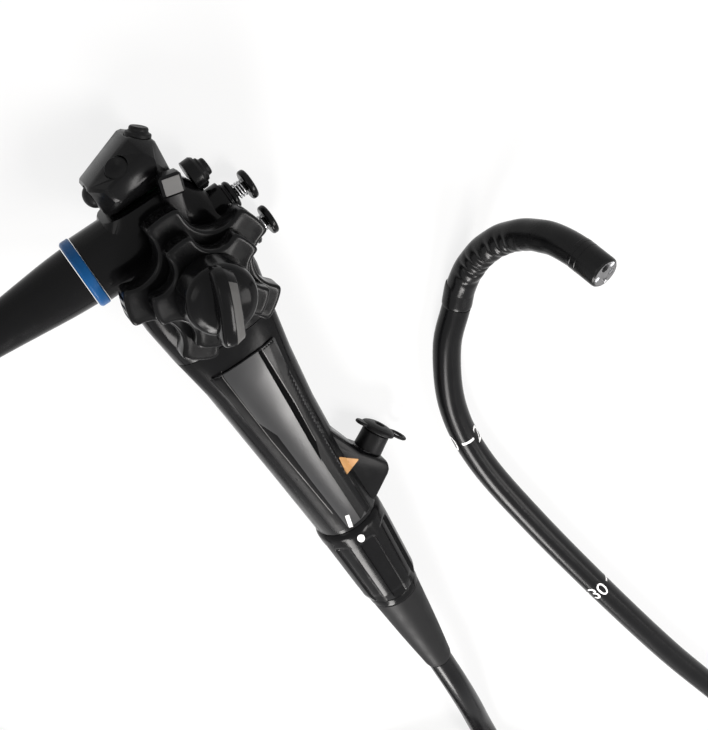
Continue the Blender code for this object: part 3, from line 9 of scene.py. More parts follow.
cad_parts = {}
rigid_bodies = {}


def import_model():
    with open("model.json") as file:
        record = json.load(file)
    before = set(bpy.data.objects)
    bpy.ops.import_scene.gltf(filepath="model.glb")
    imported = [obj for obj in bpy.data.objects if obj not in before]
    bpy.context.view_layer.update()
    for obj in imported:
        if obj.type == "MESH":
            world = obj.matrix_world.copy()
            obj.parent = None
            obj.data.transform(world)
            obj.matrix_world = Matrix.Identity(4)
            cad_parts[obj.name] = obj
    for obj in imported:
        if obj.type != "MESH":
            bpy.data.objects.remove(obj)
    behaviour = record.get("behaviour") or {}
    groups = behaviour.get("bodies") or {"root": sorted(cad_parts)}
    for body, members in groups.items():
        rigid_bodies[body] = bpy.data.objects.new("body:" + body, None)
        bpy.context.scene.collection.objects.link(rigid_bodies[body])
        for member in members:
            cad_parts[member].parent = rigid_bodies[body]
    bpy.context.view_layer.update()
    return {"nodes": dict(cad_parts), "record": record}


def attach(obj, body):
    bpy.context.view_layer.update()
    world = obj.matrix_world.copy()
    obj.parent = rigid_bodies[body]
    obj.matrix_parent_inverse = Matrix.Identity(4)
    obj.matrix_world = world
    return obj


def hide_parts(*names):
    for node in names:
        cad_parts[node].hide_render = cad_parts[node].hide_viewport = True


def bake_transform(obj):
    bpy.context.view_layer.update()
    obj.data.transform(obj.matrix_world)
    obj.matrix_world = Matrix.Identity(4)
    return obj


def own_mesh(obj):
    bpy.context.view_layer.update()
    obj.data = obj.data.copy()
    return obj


MM = 0.001
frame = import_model()
NODES = frame["nodes"]
SLOT_OF = {row["node"]: row["material_slot"] for row in frame["record"]["subparts"]}
BODY_OF = {node: body for body, members in frame["record"]["behaviour"]["bodies"].items()
           for node in members}

# The table frame is shifted so that the model stands over its origin, as in the solids.
SHIFT = Vector((-29.5, 100.5, 0.0)) * MM
HANDLE = (Matrix.Translation(SHIFT) @ Matrix.Translation((0.0, 0.0, 21.07 * MM))
          @ Matrix.Rotation(math.radians(20), 4, "Y") @ Matrix.Rotation(math.radians(-90), 4, "X"))
# Axes of the angulation controls: Z points outward, away from the grip.
CONTROL = HANDLE @ Matrix.Rotation(math.radians(90), 4, "X")


# Frames and objects
def frame_of(x_axis, y_axis, z_axis, origin):
    matrix = Matrix((x_axis, y_axis, z_axis)).transposed().to_4x4()
    matrix.translation = origin
    return matrix


def turned_y(degrees):
    return Matrix.Rotation(math.radians(degrees), 4, "Y")


def turned_z(degrees):
    return Matrix.Rotation(math.radians(degrees), 4, "Z")


def moved(x, y, z):
    return Matrix.Translation((x * MM, y * MM, z * MM))


def handle_frame(point, direction):
    # A frame on a point of the handle, with its Z axis along the direction.
    turn = Vector((0.0, 0.0, 1.0)).rotation_difference(Vector(direction)).to_euler().to_matrix()
    return HANDLE @ Matrix.Translation(Vector(point) * MM) @ turn.to_4x4()


def polar(radius, angle):
    return radius * math.cos(angle), radius * math.sin(angle)


def link_object(name, data):
    item = bpy.data.objects.new(name, data)
    bpy.context.scene.collection.objects.link(item)
    return item


# Camera: fitted to the photograph, in the handle's own axes
CAMERA_RIGHT = Vector((0.8073, -0.4075, -0.4269))
CAMERA_DOWN = Vector((-0.5724, -0.3646, -0.7345))
CAMERA_FORWARD = Vector((0.1436, 0.8373, -0.5276))
CAMERA_PLACE = Vector((87.3, 296.1, 453.4)) * MM
CAMERA_LENS = 59.18


def make_camera():
    data = bpy.data.cameras.new("photo_camera")
    data.sensor_width = 36.0
    data.lens = CAMERA_LENS
    data.clip_start = 0.01
    data.clip_end = 50.0
    camera = link_object("photo_camera", data)
    turn = HANDLE.to_3x3()
    camera.matrix_world = frame_of(turn @ CAMERA_RIGHT, -(turn @ CAMERA_DOWN),
                                   -(turn @ CAMERA_FORWARD), CAMERA_PLACE)
    bpy.context.scene.camera = camera


# Materials
def shader_of(material):
    return material.node_tree.nodes["Principled BSDF"]


def new_material(name, colour, roughness, metallic=0.0, coat=0.0, specular=0.5):
    material = bpy.data.materials.new(name)
    material.use_nodes = True
    inputs = shader_of(material).inputs
    inputs["Base Color"].default_value = (*colour, 1.0)
    inputs["Roughness"].default_value = roughness
    inputs["Metallic"].default_value = metallic
    inputs["Coat Weight"].default_value = coat
    inputs["Coat Roughness"].default_value = 0.1
    inputs["Specular IOR Level"].default_value = specular
    return material


def add_node(material, kind, **inputs):
    node = material.node_tree.nodes.new(kind)
    for key, value in inputs.items():
        node.inputs[key.replace("_", " ")].default_value = value
    return node


def wire(material, source, output, target, inlet):
    material.node_tree.links.new(source.outputs[output], target.inputs[inlet])


def object_noise(material, scale, detail=4.0, rough=0.55):
    place = add_node(material, "ShaderNodeTexCoord")
    noise = add_node(material, "ShaderNodeTexNoise", Scale=scale, Detail=detail, Roughness=rough)
    wire(material, place, "Object", noise, "Vector")
    return noise


def vary_roughness(material, noise, low, high):
    # The middle part of the noise, from 0.3 to 0.7, is stretched over the roughness range.
    node = add_node(material, "ShaderNodeMapRange")
    for index, value in enumerate((0.3, 0.7, low, high), 1):
        node.inputs[index].default_value = value
    wire(material, noise, "Fac", node, "Value")
    wire(material, node, "Result", shader_of(material), "Roughness")


def vary_colour(material, noise, first, second):
    node = add_node(material, "ShaderNodeMix")
    node.data_type = "RGBA"
    node.inputs[6].default_value = (*first, 1.0)
    node.inputs[7].default_value = (*second, 1.0)
    wire(material, noise, "Fac", node, 0)
    wire(material, node, 2, shader_of(material), "Base Color")


def bump(material, noise, strength, distance):
    node = add_node(material, "ShaderNodeBump", Strength=strength, Distance=distance)
    wire(material, noise, "Fac", node, "Height")
    wire(material, node, "Normal", shader_of(material), "Normal")


def plastic(name, dark, light, roughness, grain, depth, spread=0.08, coat=0.0, specular=0.5):
    # Moulded plastic or rubber: a fine grain, slow changes of colour and gloss from handling.
    material = new_material(name, dark, roughness, coat=coat, specular=specular)
    vary_colour(material, object_noise(material, 26.0, 3.0), dark, light)
    vary_roughness(material, object_noise(material, 90.0, 6.0, 0.65),
                   max(0.05, roughness - spread), roughness + spread)
    bump(material, object_noise(material, grain, 2.0), 0.25, depth)
    return material


def metal(name, colour, roughness):
    # Turned or brushed metal: noise drawn out along one axis.
    material = new_material(name, colour, roughness, 1.0)
    place = add_node(material, "ShaderNodeTexCoord")
    mapping = add_node(material, "ShaderNodeMapping", Scale=(1.0, 1.0, 0.08))
    wire(material, place, "Object", mapping, "Vector")
    noise = add_node(material, "ShaderNodeTexNoise", Scale=900.0, Detail=3.0)
    wire(material, mapping, "Vector", noise, "Vector")
    vary_roughness(material, noise, roughness - 0.08, roughness + 0.1)
    vary_colour(material, noise, tuple(c * 0.85 for c in colour), colour)
    bump(material, noise, 0.08, 0.00002)
    return material


# Each look: darkest and lightest colour, roughness, scale and depth of the grain.
LOOKS = {
    "black_gloss": plastic("moulded_black_gloss", (0.0035, 0.0035, 0.0038), (0.006, 0.006, 0.0065),
                           0.18, 2600.0, 0.00001, specular=0.1),
    "black_satin": plastic("moulded_black_satin", (0.004, 0.004, 0.0043), (0.007, 0.007, 0.0075),
                           0.22, 2400.0, 0.00002, specular=0.11),
    "black_rubber": plastic("black_rubber", (0.006, 0.006, 0.0064), (0.010, 0.010, 0.0105),
                            0.42, 3000.0, 0.00003, specular=0.1),
    "grey_panel": plastic("grip_panel_gloss", (0.016, 0.016, 0.017), (0.022, 0.022, 0.023),
                          0.3, 2200.0, 0.000004, 0.02, specular=0.45),
    "blue_plastic": plastic("blue_ring", (0.003, 0.062, 0.19), (0.005, 0.08, 0.24),
                            0.34, 2600.0, 0.00001, specular=0.15),
    "steel": metal("brushed_steel", (0.55, 0.55, 0.56), 0.28),
    "brass": metal("turned_brass", (0.6, 0.45, 0.2), 0.35),
    "aluminium": metal("milled_aluminium", (0.55, 0.55, 0.56), 0.4),
    "tip_grey": plastic("tip_plastic", (0.07, 0.07, 0.073), (0.10, 0.10, 0.103),
                        0.42, 2600.0, 0.00001),
    "lens": plastic("lens_glass", (0.55, 0.57, 0.60), (0.62, 0.64, 0.67),
                    0.1, 4000.0, 0.000002, 0.03, coat=0.8),
    "fibre": plastic("bundle_jacket", (0.12, 0.12, 0.125), (0.16, 0.16, 0.165),
                     0.6, 1800.0, 0.00003),
    "cord_rubber": plastic("insertion_tube_skin", (0.003, 0.003, 0.0033), (0.005, 0.005, 0.0055),
                           0.24, 3200.0, 0.00001, 0.04, specular=0.13),
    "board": plastic("circuit_board", (0.01, 0.10, 0.035), (0.015, 0.14, 0.05),
                     0.45, 1500.0, 0.00002),
}
BOOT_LOOK = plastic("boot_rubber", (0.007, 0.007, 0.0074), (0.011, 0.011, 0.0115),
                    0.5, 2600.0, 0.00004, specular=0.11)
SLEEVE_LOOK = plastic("bending_rubber", (0.0035, 0.0035, 0.0038), (0.006, 0.006, 0.0064),
                      0.24, 2600.0, 0.00001, specular=0.16)
# A light grey for the lever plate and the lock bar's flank, also used for painted highlight lines
# on the grip panel.
GREY_FACE_AND_HIGHLIGHT_LOOK = plastic("grey_face_and_highlight", (0.055, 0.054, 0.052), (0.08, 0.078, 0.076),
                         0.4, 2600.0, 0.00001)
# Painted shade: a dark, dull look for the grip panel's flanks and its left side.
PANEL_SHADE_LOOK = plastic("panel_flank", (0.004, 0.004, 0.0043), (0.007, 0.007, 0.0075),
                     0.35, 2400.0, 0.00001, specular=0.05)
# Painted shadow: a near-black, dull look for the slit beside the grip panel.
SLIT_SHADOW_LOOK = plastic("shadow_slit", (0.002, 0.002, 0.0022), (0.004, 0.004, 0.0043),
                    0.7, 2600.0, 0.00001, specular=0.02)
GLASS_LOOK = plastic("objective_glass", (0.006, 0.008, 0.012), (0.010, 0.012, 0.018),
                     0.06, 4000.0, 0.000002, 0.02, coat=1.0)
WHITE_INK = plastic("white_ink", (0.78, 0.78, 0.78), (0.84, 0.84, 0.84), 0.5, 3000.0, 0.000005)
ORANGE_INK = plastic("orange_ink", (0.60, 0.31, 0.11), (0.64, 0.34, 0.13), 0.5, 3000.0, 0.000005)


# Mesh helpers
def dress(item, look, body, slot, *nodes):
    item.data.materials.clear()
    item.data.materials.append(look)
    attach(item, body)
    if nodes:
        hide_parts(*nodes)
    return item


def add_object(name, mesh, look, body, slot, *nodes):
    return dress(link_object(name, mesh), look, body, slot, *nodes)


def mesh_of(name, work):
    mesh = bpy.data.meshes.new(name)
    work.to_mesh(mesh)
    work.free()
    return mesh


def bridge(work, rows):
    # Closed rows of vertices, each joined to the next by a band of faces.
    for first, second in zip(rows, rows[1:]):
        for index in range(len(first)):
            following = (index + 1) % len(first)
            work.faces.new((first[index], first[following], second[following], second[index]))


def smooth_by_angle(mesh, angle_deg):
    mesh.shade_smooth()
    work = bmesh.new()
    work.from_mesh(mesh)
    limit = math.radians(angle_deg)
    for edge in work.edges:
        edge.smooth = len(edge.link_faces) == 2 and edge.calc_face_angle(0.0) < limit
    work.to_mesh(mesh)
    work.free()


def evaluated_mesh(item):
    bpy.context.view_layer.update()
    graph = bpy.context.evaluated_depsgraph_get()
    return bpy.data.meshes.new_from_object(item.evaluated_get(graph))


def bake_modifiers(item):
    mesh = evaluated_mesh(item)
    item.modifiers.clear()
    item.data = mesh


def mesh_from_curve(item):
    mesh = evaluated_mesh(item)
    bpy.data.objects.remove(item, do_unlink=True)
    return mesh


EDGE_ANGLE_DEG = 32.0
FLAT_ANGLE_DEG = 0.6


def refined(node, edge_width, look):
    # The solid's own surface with its flat triangles joined and its edges broken.
    work = bmesh.new()
    work.from_mesh(NODES[node].data)
    bmesh.ops.remove_doubles(work, verts=work.verts, dist=0.002 * MM)
    bmesh.ops.dissolve_limit(work, angle_limit=math.radians(FLAT_ANGLE_DEG), verts=work.verts,
                             edges=work.edges)
    name = node + "_skin"
    item = add_object(name, mesh_of(name, work), look, BODY_OF[node], SLOT_OF[node], node)
    modifier = item.modifiers.new("edges", "BEVEL")
    modifier.width = edge_width * MM
    modifier.segments = 3
    modifier.limit_method = "ANGLE"
    modifier.angle_limit = math.radians(EDGE_ANGLE_DEG)
    modifier.use_clamp_overlap = True
    bake_modifiers(item)
    smooth_by_angle(item.data, EDGE_ANGLE_DEG)


def turned(name, profile, matrix, look, body, slot, *nodes, around=96):
    # The profile runs from top to bottom on the outer side, as radius and height in millimetres.
    work = bmesh.new()
    points = [work.verts.new((radius * MM, 0.0, height * MM)) for radius, height in profile]
    for first, second in zip(points, points[1:]):
        work.edges.new((first, second))
    if profile[0][0] > 0.01:
        work.edges.new((points[-1], points[0]))
    item = link_object(name, mesh_of(name, work))
    screw = item.modifiers.new("screw", "SCREW")
    screw.steps = screw.render_steps = around
    screw.use_merge_vertices = True
    screw.merge_threshold = 0.00001
    bake_modifiers(item)
    item.matrix_world = matrix
    smooth_by_angle(item.data, 30.0)
    dress(item, look, body, slot, *nodes)


def skin(node, profile, matrix, slot, body="control_body", look=None, around=96):
    # The turned skin of one solid.
    turned(node + "_skin", profile, matrix, look or LOOKS[slot], body, slot, node, around=around)


def rounded(profile, radius, steps=4):
    # The profile's inner corners replaced by short arcs, as quadratic curves between the cuts.
    points = [Vector(point) for point in profile]
    result = [tuple(points[0])]
    for before, corner, after in zip(points, points[1:], points[2:]):
        back, ahead = before - corner, after - corner
        reach = min(radius, back.length * 0.45, ahead.length * 0.45)
        start = corner + back.normalized() * reach
        end = corner + ahead.normalized() * reach
        for step in range(steps + 1):
            t = step / steps
            result.append(tuple(start * (1 - t) ** 2 + corner * 2 * t * (1 - t) + end * t ** 2))
    result.append(tuple(points[-1]))
    return result


def eased(value):
    # From 0 to 1 with soft ends.
    share = min(1.0, max(0.0, value))
    return share * share * (3 - 2 * share)


# Smooth lines
def between(before, start, end, after, t):
    # The point at share t from start to end, on a smooth line through all four.
    return 0.5 * (2 * start + (end - before) * t
                  + (2 * before - 5 * start + 4 * end - after) * t ** 2
                  + (3 * start - before - 3 * end + after) * t ** 3)


def smooth_line(places, per_span):
    # The line from the second place to the last but one.
    line = []
    for index in range(1, len(places) - 2):
        line += [between(*places[index - 1:index + 3], step / per_span) for step in range(per_span)]
    return line + [places[-2]]


def spline(points, per_span=16):
    places = [Vector(point) for point in points]
    ends = 2 * places[0] - places[1], 2 * places[-1] - places[-2]
    return smooth_line([ends[0]] + places + [ends[1]], per_span)


def flowing(points, per_span=10):
    # A smooth outline through pairs of radius and height.
    return [(point.x, point.y) for point in spline([(*pair, 0.0) for pair in points], per_span)]


# Cords
TUBE_DIAMETER = 12.8 * MM
CORD_DIAMETER = 13.0 * MM
COIL_RADIUS = 65.0
LAYER_RISE = 13.05
CLIMB_SHARE = 0.32
POINTS_PER_TURN = 40
POINT_SPACING = 4.0
TUBE_ENTRY = ((0.0, -260.7, 21.07), (0.0, -285.0, 20.0), (-1.5, -310.0, 15.5),
              (-4.0, -335.0, 9.5), (-5.4, -361.1, 6.45), (-5.5, -385.0, 6.42))
TUBE_EXIT = ((106.9, -339.3, 6.45), (90.5, -279.0, 6.45), (75.0, -215.1, 6.45),
             (65.6, -165.0, 6.45), (66.0, -130.0, 6.45), (76.0, -99.0, 6.5), (88.4, -80.6, 6.6))
CORD_START = ((-92.3, 19.6, 52.1), (-106.0, 19.8, 57.0), (-124.0, 21.6, 59.3),
              (-143.0, 26.0, 57.4), (-162.5, 31.2, 53.0), (-183.0, 34.3, 48.2),
              (-198.0, 35.0, 46.2))
CORD_END = ((-270.0, -45.0, 6.55), (-270.0, -70.8, 6.55), (-269.8, -95.0, 8.2),
            (-267.5, -110.0, 10.7), (-261.8, -130.0, 15.0), (-255.1, -150.0, 19.3),
            (-249.9, -170.0, 22.4), (-248.5, -185.0, 23.2), (-248.5, -195.1, 23.2))


def coil_points(centre, start_deg, turns, layers, low, clockwise, from_top=False):
    # Each turn lies flat and climbs onto the one below, or down from the one above, over its
    # last part.
    sign = -1.0 if clockwise else 1.0
    points = []
    count = int(turns * POINTS_PER_TURN)
    for step in range(count + 1):
        turned_by = turns * step / count
        layer = sum(eased((turned_by - (number - CLIMB_SHARE)) / CLIMB_SHARE)
                    for number in range(1, layers))
        if from_top:
            layer = layers - 1 - layer
        x, y = polar(COIL_RADIUS, math.radians(start_deg) + sign * 2 * math.pi * turned_by)
        points.append(Vector((centre[0] + x, centre[1] + y, low + LAYER_RISE * layer)))
    return points


def loop_points(centre, radius, sweep_deg, fall_deg, high, low):
    # The turn back from the coil towards the object, coming down to the table on its way.
    points = []
    for step in range(4, round(sweep_deg) + 1, 6):
        x, y = polar(radius, math.radians(step))
        fallen = eased((step - fall_deg[0]) / (fall_deg[1] - fall_deg[0]))
        points.append((centre[0] - x, centre[1] - y, high + (low - high) * fallen))
    return points


def joined(*stretches):
    points = []
    for stretch in stretches:
        for point in stretch:
            point = Vector(point)
            if not points or (point - points[-1]).length > 0.5:
                points.append(point)
    return points


def even_points(points, spacing):
    lengths = [0.0]
    for first, second in zip(points, points[1:]):
        lengths.append(lengths[-1] + (second - first).length)
    count = max(2, round(lengths[-1] / spacing))
    result = []
    index = 0
    for step in range(count + 1):
        target = lengths[-1] * step / count
        while index < len(points) - 2 and lengths[index + 1] < target:
            index += 1
        share = (target - lengths[index]) / (lengths[index + 1] - lengths[index])
        result.append(points[index].lerp(points[index + 1], share))
    return result


def world_route(*stretches):
    return [point * MM + SHIFT for point in even_points(joined(*stretches), POINT_SPACING)]


def cord_curve(name, points, diameter):
    curve = bpy.data.curves.new(name, "CURVE")
    curve.dimensions = "3D"
    curve.bevel_depth = diameter / 2
    curve.bevel_resolution = 10
    curve.use_fill_caps = True
    line = curve.splines.new("POLY")
    line.points.add(len(points) - 1)
    for point, place in zip(line.points, points):
        point.co = (*place, 1.0)
    line.use_smooth = True
    return link_object(name, curve)


def make_insertion_tube():
    turns = coil_points((-70.5, -401.0), 0.0, 2.0, 3, 6.42, True)
    loop = loop_points((59.1, -401.0), 64.6, 198.0, (20.0, 110.0), 32.52, 6.45)
    points = world_route(spline(TUBE_ENTRY), turns, spline(loop + list(TUBE_EXIT)))
    item = dress(cord_curve("insertion_tube", points, TUBE_DIAMETER), LOOKS["cord_rubber"],
                 "control_body", "cord_rubber",
                 "insertion_tube_near", "insertion_coil", "insertion_tube_far")
    return points


def make_universal_cord():
    turns = coil_points((-205.0, -30.0), 90.0, 3.25, 4, 6.55, False, True)
    points = world_route(spline(CORD_START), turns, spline(CORD_END))
    item = dress(cord_curve("universal_cord", points, CORD_DIAMETER), LOOKS["cord_rubber"],
                 "control_body", "cord_rubber",
                 "universal_cord_near", "universal_coil", "universal_cord_far")


# Solids shown as they are, solids with a shape of their own below, and the edge widths of the rest
KEPT = ("insertion_tube", "insertion_coil", "universal_c", "bending_link", "light_guide_pin")
OWN_SHAPE = ("cord_ring", "cord_boot", "boot_collar", "insertion_boot", "stiffness_ring",
             "port_valve", "port_lid", "air_water_", "suction_", "bending_base", "switch_1",
             "switch_2", "switch_3", "switch_4", "ud_knob", "rl_knob", "rl_lock_knob")
EDGE_WIDTH = {"grip_panel": 0.5, "switch_box": 1.1, "ud_lock_lever": 0.7, "grip_shell": 0.5,
              "upper_housing": 0.6}
USUAL_EDGE = 0.25
TIP_EDGE = 0.12


def make_skins():
    for node in NODES:
        look = GLASS_LOOK if node == "objective_lens" else LOOKS[SLOT_OF[node]]
        if node.startswith(KEPT):
            NODES[node].data.materials.clear()
            NODES[node].data.materials.append(look)
        elif not node.startswith(OWN_SHAPE):
            usual = TIP_EDGE if BODY_OF[node] == "tip" else USUAL_EDGE
            refined(node, EDGE_WIDTH.get(node, usual), look)


# Turned pieces at full smoothness, in the same places as their solids
CORD_FRAME = HANDLE @ Matrix.Translation(Vector((0.0, 2.4, 19.6)) * MM) @ turned_y(-90)
PORT_ANGLE = math.radians(33.0)
PORT_FRAME = handle_frame((24.0, 0.0, -127.0), (math.cos(PORT_ANGLE), 0.0, math.sin(PORT_ANGLE)))
VALVE_HEIGHTS = {"air_water": 13.4, "suction": -4.2}


def make_cord_outlet():
    ring = rounded([(6.0, 37.4), (13.9, 37.4), (14.8, 36.5), (14.8, 33.3), (14.4, 32.9),
                    (6.0, 32.9)], 0.5)
    skin("cord_ring", ring, CORD_FRAME, "blue_plastic")
    side = flowing([(7.3, 97.0), (7.8, 93.0), (9.9, 70.3), (12.0, 49.6), (12.8, 37.9)], 8)
    boot = [(4.5, 97.0), (6.9, 97.0)] + side + [(12.6, 37.7), (4.5, 37.7)]
    skin("cord_boot", boot, CORD_FRAME, "black_gloss")


def make_insertion_boot():
    collar = rounded([(5.0, -199.3), (12.9, -199.3), (12.9, -203.4), (5.0, -203.4)], 0.6)
    skin("boot_collar", collar, HANDLE, "black_gloss")
    side = flowing([(12.55, -204.1), (11.7, -213.8), (9.7, -235.8), (7.25, -258.6)])
    boot = [(5.0, -203.7), (12.3, -203.7)] + side + [(6.9, -260.0), (5.0, -260.0)]
    skin("insertion_boot", boot, HANDLE, "black_rubber", look=BOOT_LOOK)


def make_port():
    valve = rounded([(1.2, 9.6), (6.0, 9.6), (6.6, 9.0), (6.7, 5.0), (6.9, 0.3), (4.5, 0.3),
                     (4.5, 6.8), (1.2, 6.8)], 0.5)
    skin("port_valve", valve, PORT_FRAME, "black_rubber")
    lid_frame = PORT_FRAME @ moved(0.0, 0.0, 9.9)
    lid = rounded([(0.0, 1.5), (1.5, 1.7), (2.5, 3.1), (3.3, 3.3), (5.6, 3.0), (7.6, 2.2),
                   (8.4, 1.3), (8.4, 0.4), (7.9, 0.0), (0.0, 0.0)], 0.7)
    skin("port_lid", lid, lid_frame, "black_rubber", "port_lid")
    tab = rounded([(0.0, 2.0), (2.9, 2.0), (3.4, 1.5), (3.4, 0.9), (3.0, 0.5), (0.0, 0.5)], 0.4)
    turned("port_lid_tab", tab, lid_frame @ moved(-9.0, 0.0, 0.0), LOOKS["black_rubber"],
           "port_lid", "black_rubber", around=48)
    loop = [(3.9 + math.cos(math.radians(a)), 1.2 + 0.75 * math.sin(math.radians(a)))
            for a in range(90, -241, -30)]
    turned("port_lid_loop", loop, lid_frame @ moved(11.0, 0.0, 0.0), LOOKS["black_rubber"],
           "port_lid", "black_rubber", around=64)


def make_valves():
    barrel = rounded([(3.6, 31.4), (5.3, 31.4), (6.2, 30.5), (6.2, 29.4), (5.7, 29.1), (5.7, 28.6),
                      (6.2, 28.3), (6.2, 27.3), (5.0, 27.3), (5.0, 20.0), (3.6, 20.0)], 0.35)
    button = rounded([(0.0, 38.7), (3.4, 38.9), (5.3, 39.6), (6.0, 39.3), (6.4, 38.7), (6.4, 37.3),
                      (5.9, 36.6), (2.0, 36.6), (2.0, 30.4), (3.3, 26.8), (3.3, 24.8),
                      (0.0, 24.8)], 0.5)
    for name, height in VALVE_HEIGHTS.items():
        place = HANDLE @ moved(0.0, 0.0, height) @ turned_y(90)
        skin(f"{name}_cylinder", barrel, place, "black_gloss")
        skin(f"{name}_button", button, place, "black_satin", f"{name}_button",
             LOOKS["black_gloss"])
        make_spring(name, place)


SPRING_RADIUS = 3.2
SPRING_TURNS = 3.5
SPRING_ENDS = (31.85, 36.15)
SPRING_STEPS = 28


def make_spring(name, place):
    low, high = SPRING_ENDS
    count = SPRING_TURNS * SPRING_STEPS
    points = []
    for step in range(int(count) + 1):
        angle = 2 * math.pi * step / SPRING_STEPS
        height = low + (high - low) * step / count
        points.append(place @ (Vector((*polar(SPRING_RADIUS, angle), height)) * MM))
    mesh = mesh_from_curve(cord_curve(f"{name}_spring_coil", points, 0.7 * MM))
    mesh.shade_smooth()
    item = add_object(f"{name}_spring_skin", mesh, LOOKS["steel"], "control_body", "steel",
                      f"{name}_spring")
    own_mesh(item)


# Remote switches: place and direction on the switch box, and how far each reaches into it
SWITCH_PLACES = (
    ((-3.4, -8.2, 51.2), (-0.12, -0.686, 0.727)),
    ((-16.8, 2.0, 43.6), (-1.0, 0.0, 0.0)),
    ((11.0, 1.0, 54.2), (0.63, 0.0, 0.78)),
    ((24.4, 0.0, 29.4), (1.0, 0.0, 0.05)),
)
SWITCH_FOOT = -2.3


def make_switches():
    dome = [(5.0 * math.sin(math.radians(a)), -1.5 + 4.5 * math.cos(math.radians(a)))
            for a in range(0, 76, 15)]
    stepped = [(0.0, 3.35), (2.2, 3.5), (3.3, 3.6), (3.85, 2.9), (3.85, 1.9), (4.3, 1.5),
               (5.2, 1.1)]
    narrower = [(radius * 5.0 / 5.2, height) for radius, height in stepped]
    dished = [(0.0, -0.95), (1.4, -0.85), (2.6, -0.4), (3.9, 0.15), (4.4, 0.2), (4.7, -0.1)]
    tops = (dished, dome + [(5.0, -0.4)], stepped, narrower)
    for number, (place, top) in enumerate(zip(SWITCH_PLACES, tops), 1):
        outline = top + [(top[-1][0], SWITCH_FOOT), (0.0, SWITCH_FOOT)]
        skin(f"switch_{number}", rounded(outline, 0.5), handle_frame(*place), "black_rubber",
             f"switch_{number}", around=64)


# Stiffness ring
RING_AROUND = 192
FLAT_ANGLE = math.pi / 4
RING_FOOT_RADIUS = 13.2
FLAT_DEPTH = 1.35
FLAT_TOP = -155.5
FLAT_ARCH = 2.5


def smooth_window(value, low, high, edge):
    # 1 between low and high, with soft flanks as wide as the edge.
    return eased(min((value - low) / edge, (high - value) / edge))


def make_stiffness_ring():
    # Long finger flats sink between ribs. Each has an arched upper end and runs out below.
    outline = rounded([(12.8, -147.9), (15.2, -147.9), (16.6, -150.6), (16.6, -158.9),
                       (14.8, -194.0), (13.5, -198.4), (13.2, -199.0), (12.8, -199.0)], 1.2)
    fine = []
    for first, second in zip(outline, outline[1:]):
        steps = max(1, round(math.dist(first, second) / 0.8))
        for step in range(steps):
            t = step / steps
            fine.append((first[0] + (second[0] - first[0]) * t,
                         first[1] + (second[1] - first[1]) * t))
    fine.append(outline[-1])
    work = bmesh.new()
    rows = []
    for radius, height in fine:
        row = []
        for step in range(RING_AROUND):
            angle = 2 * math.pi * step / RING_AROUND
            sector = (angle / FLAT_ANGLE + 0.5) % 1.0
            top = FLAT_TOP - FLAT_ARCH * (2 * sector - 1) ** 2
            sunk = (smooth_window(sector, 0.17, 0.83, 0.05)
                    * smooth_window(height, -230.0, top, 2.2))
            reach = radius
            if radius > RING_FOOT_RADIUS:
                reach = max(RING_FOOT_RADIUS, radius - FLAT_DEPTH * sunk)
            row.append(work.verts.new((*polar(reach * MM, angle), height * MM)))
        rows.append(row)
    bridge(work, rows + [rows[0]])
    bmesh.ops.recalc_face_normals(work, faces=work.faces)
    mesh = mesh_of("stiffness_ring_skin", work)
    mesh.transform(HANDLE)
    smooth_by_angle(mesh, 38.0)
    add_object("stiffness_ring_skin", mesh, LOOKS["black_gloss"], "stiffness_ring", "black_gloss",
               "stiffness_ring")


# Control wheels
WHEEL_LOBES = 5
WHEEL_EDGE = 1.25
LOBE_STEPS = 14
SCALLOP_STEPS = 28
EASING_PASSES = 5
NOTCH_RADIUS = 1.05
NOTCH_PITCH = 3.9


def wheel_outline(radius, scallop_radius, scallop_centre, phase_deg, inset):
    # Points of the wheel's edge moved in by the inset, with the same count for every inset.
    half_sector = math.pi / WHEEL_LOBES
    rim = radius - inset
    scallop = scallop_radius + inset
    cut = math.acos((scallop_centre ** 2 + rim ** 2 - scallop ** 2) / (2 * scallop_centre * rim))
    reach = half_sector - cut
    points = []
    for lobe in range(WHEEL_LOBES):
        middle = math.radians(phase_deg) + 2 * half_sector * lobe
        for step in range(LOBE_STEPS + 1):
            angle = middle + reach * (2 * step / LOBE_STEPS - 1)
            points.append(Vector(polar(rim, angle)))
        valley = middle + half_sector
        centre = Vector(polar(scallop_centre, valley))
        start = points[-1] - centre
        end = Vector(polar(rim, valley + cut)) - centre
        begin = math.atan2(start.y, start.x)
        sweep = (math.atan2(end.y, end.x) - begin) % (2 * math.pi) - 2 * math.pi
        for step in range(1, SCALLOP_STEPS):
            angle = begin + sweep * step / SCALLOP_STEPS
            points.append(centre + scallop * Vector(polar(1.0, angle)))
    for _ in range(EASING_PASSES):
        # The corners between rim and scallop are eased like a moulding's.
        points = [(points[i - 1] + 2 * points[i] + points[(i + 1) % len(points)]) / 4
                  for i in range(len(points))]
    return points


def inward_row(work, row, reach, height):
    # A row of vertices on a circle, in the directions of another row's.
    directions = [Vector((vert.co.x, vert.co.y, 0.0)).normalized() for vert in row]
    return [work.verts.new(direction * reach * MM + Vector((0.0, 0.0, height * MM)))
            for direction in directions]


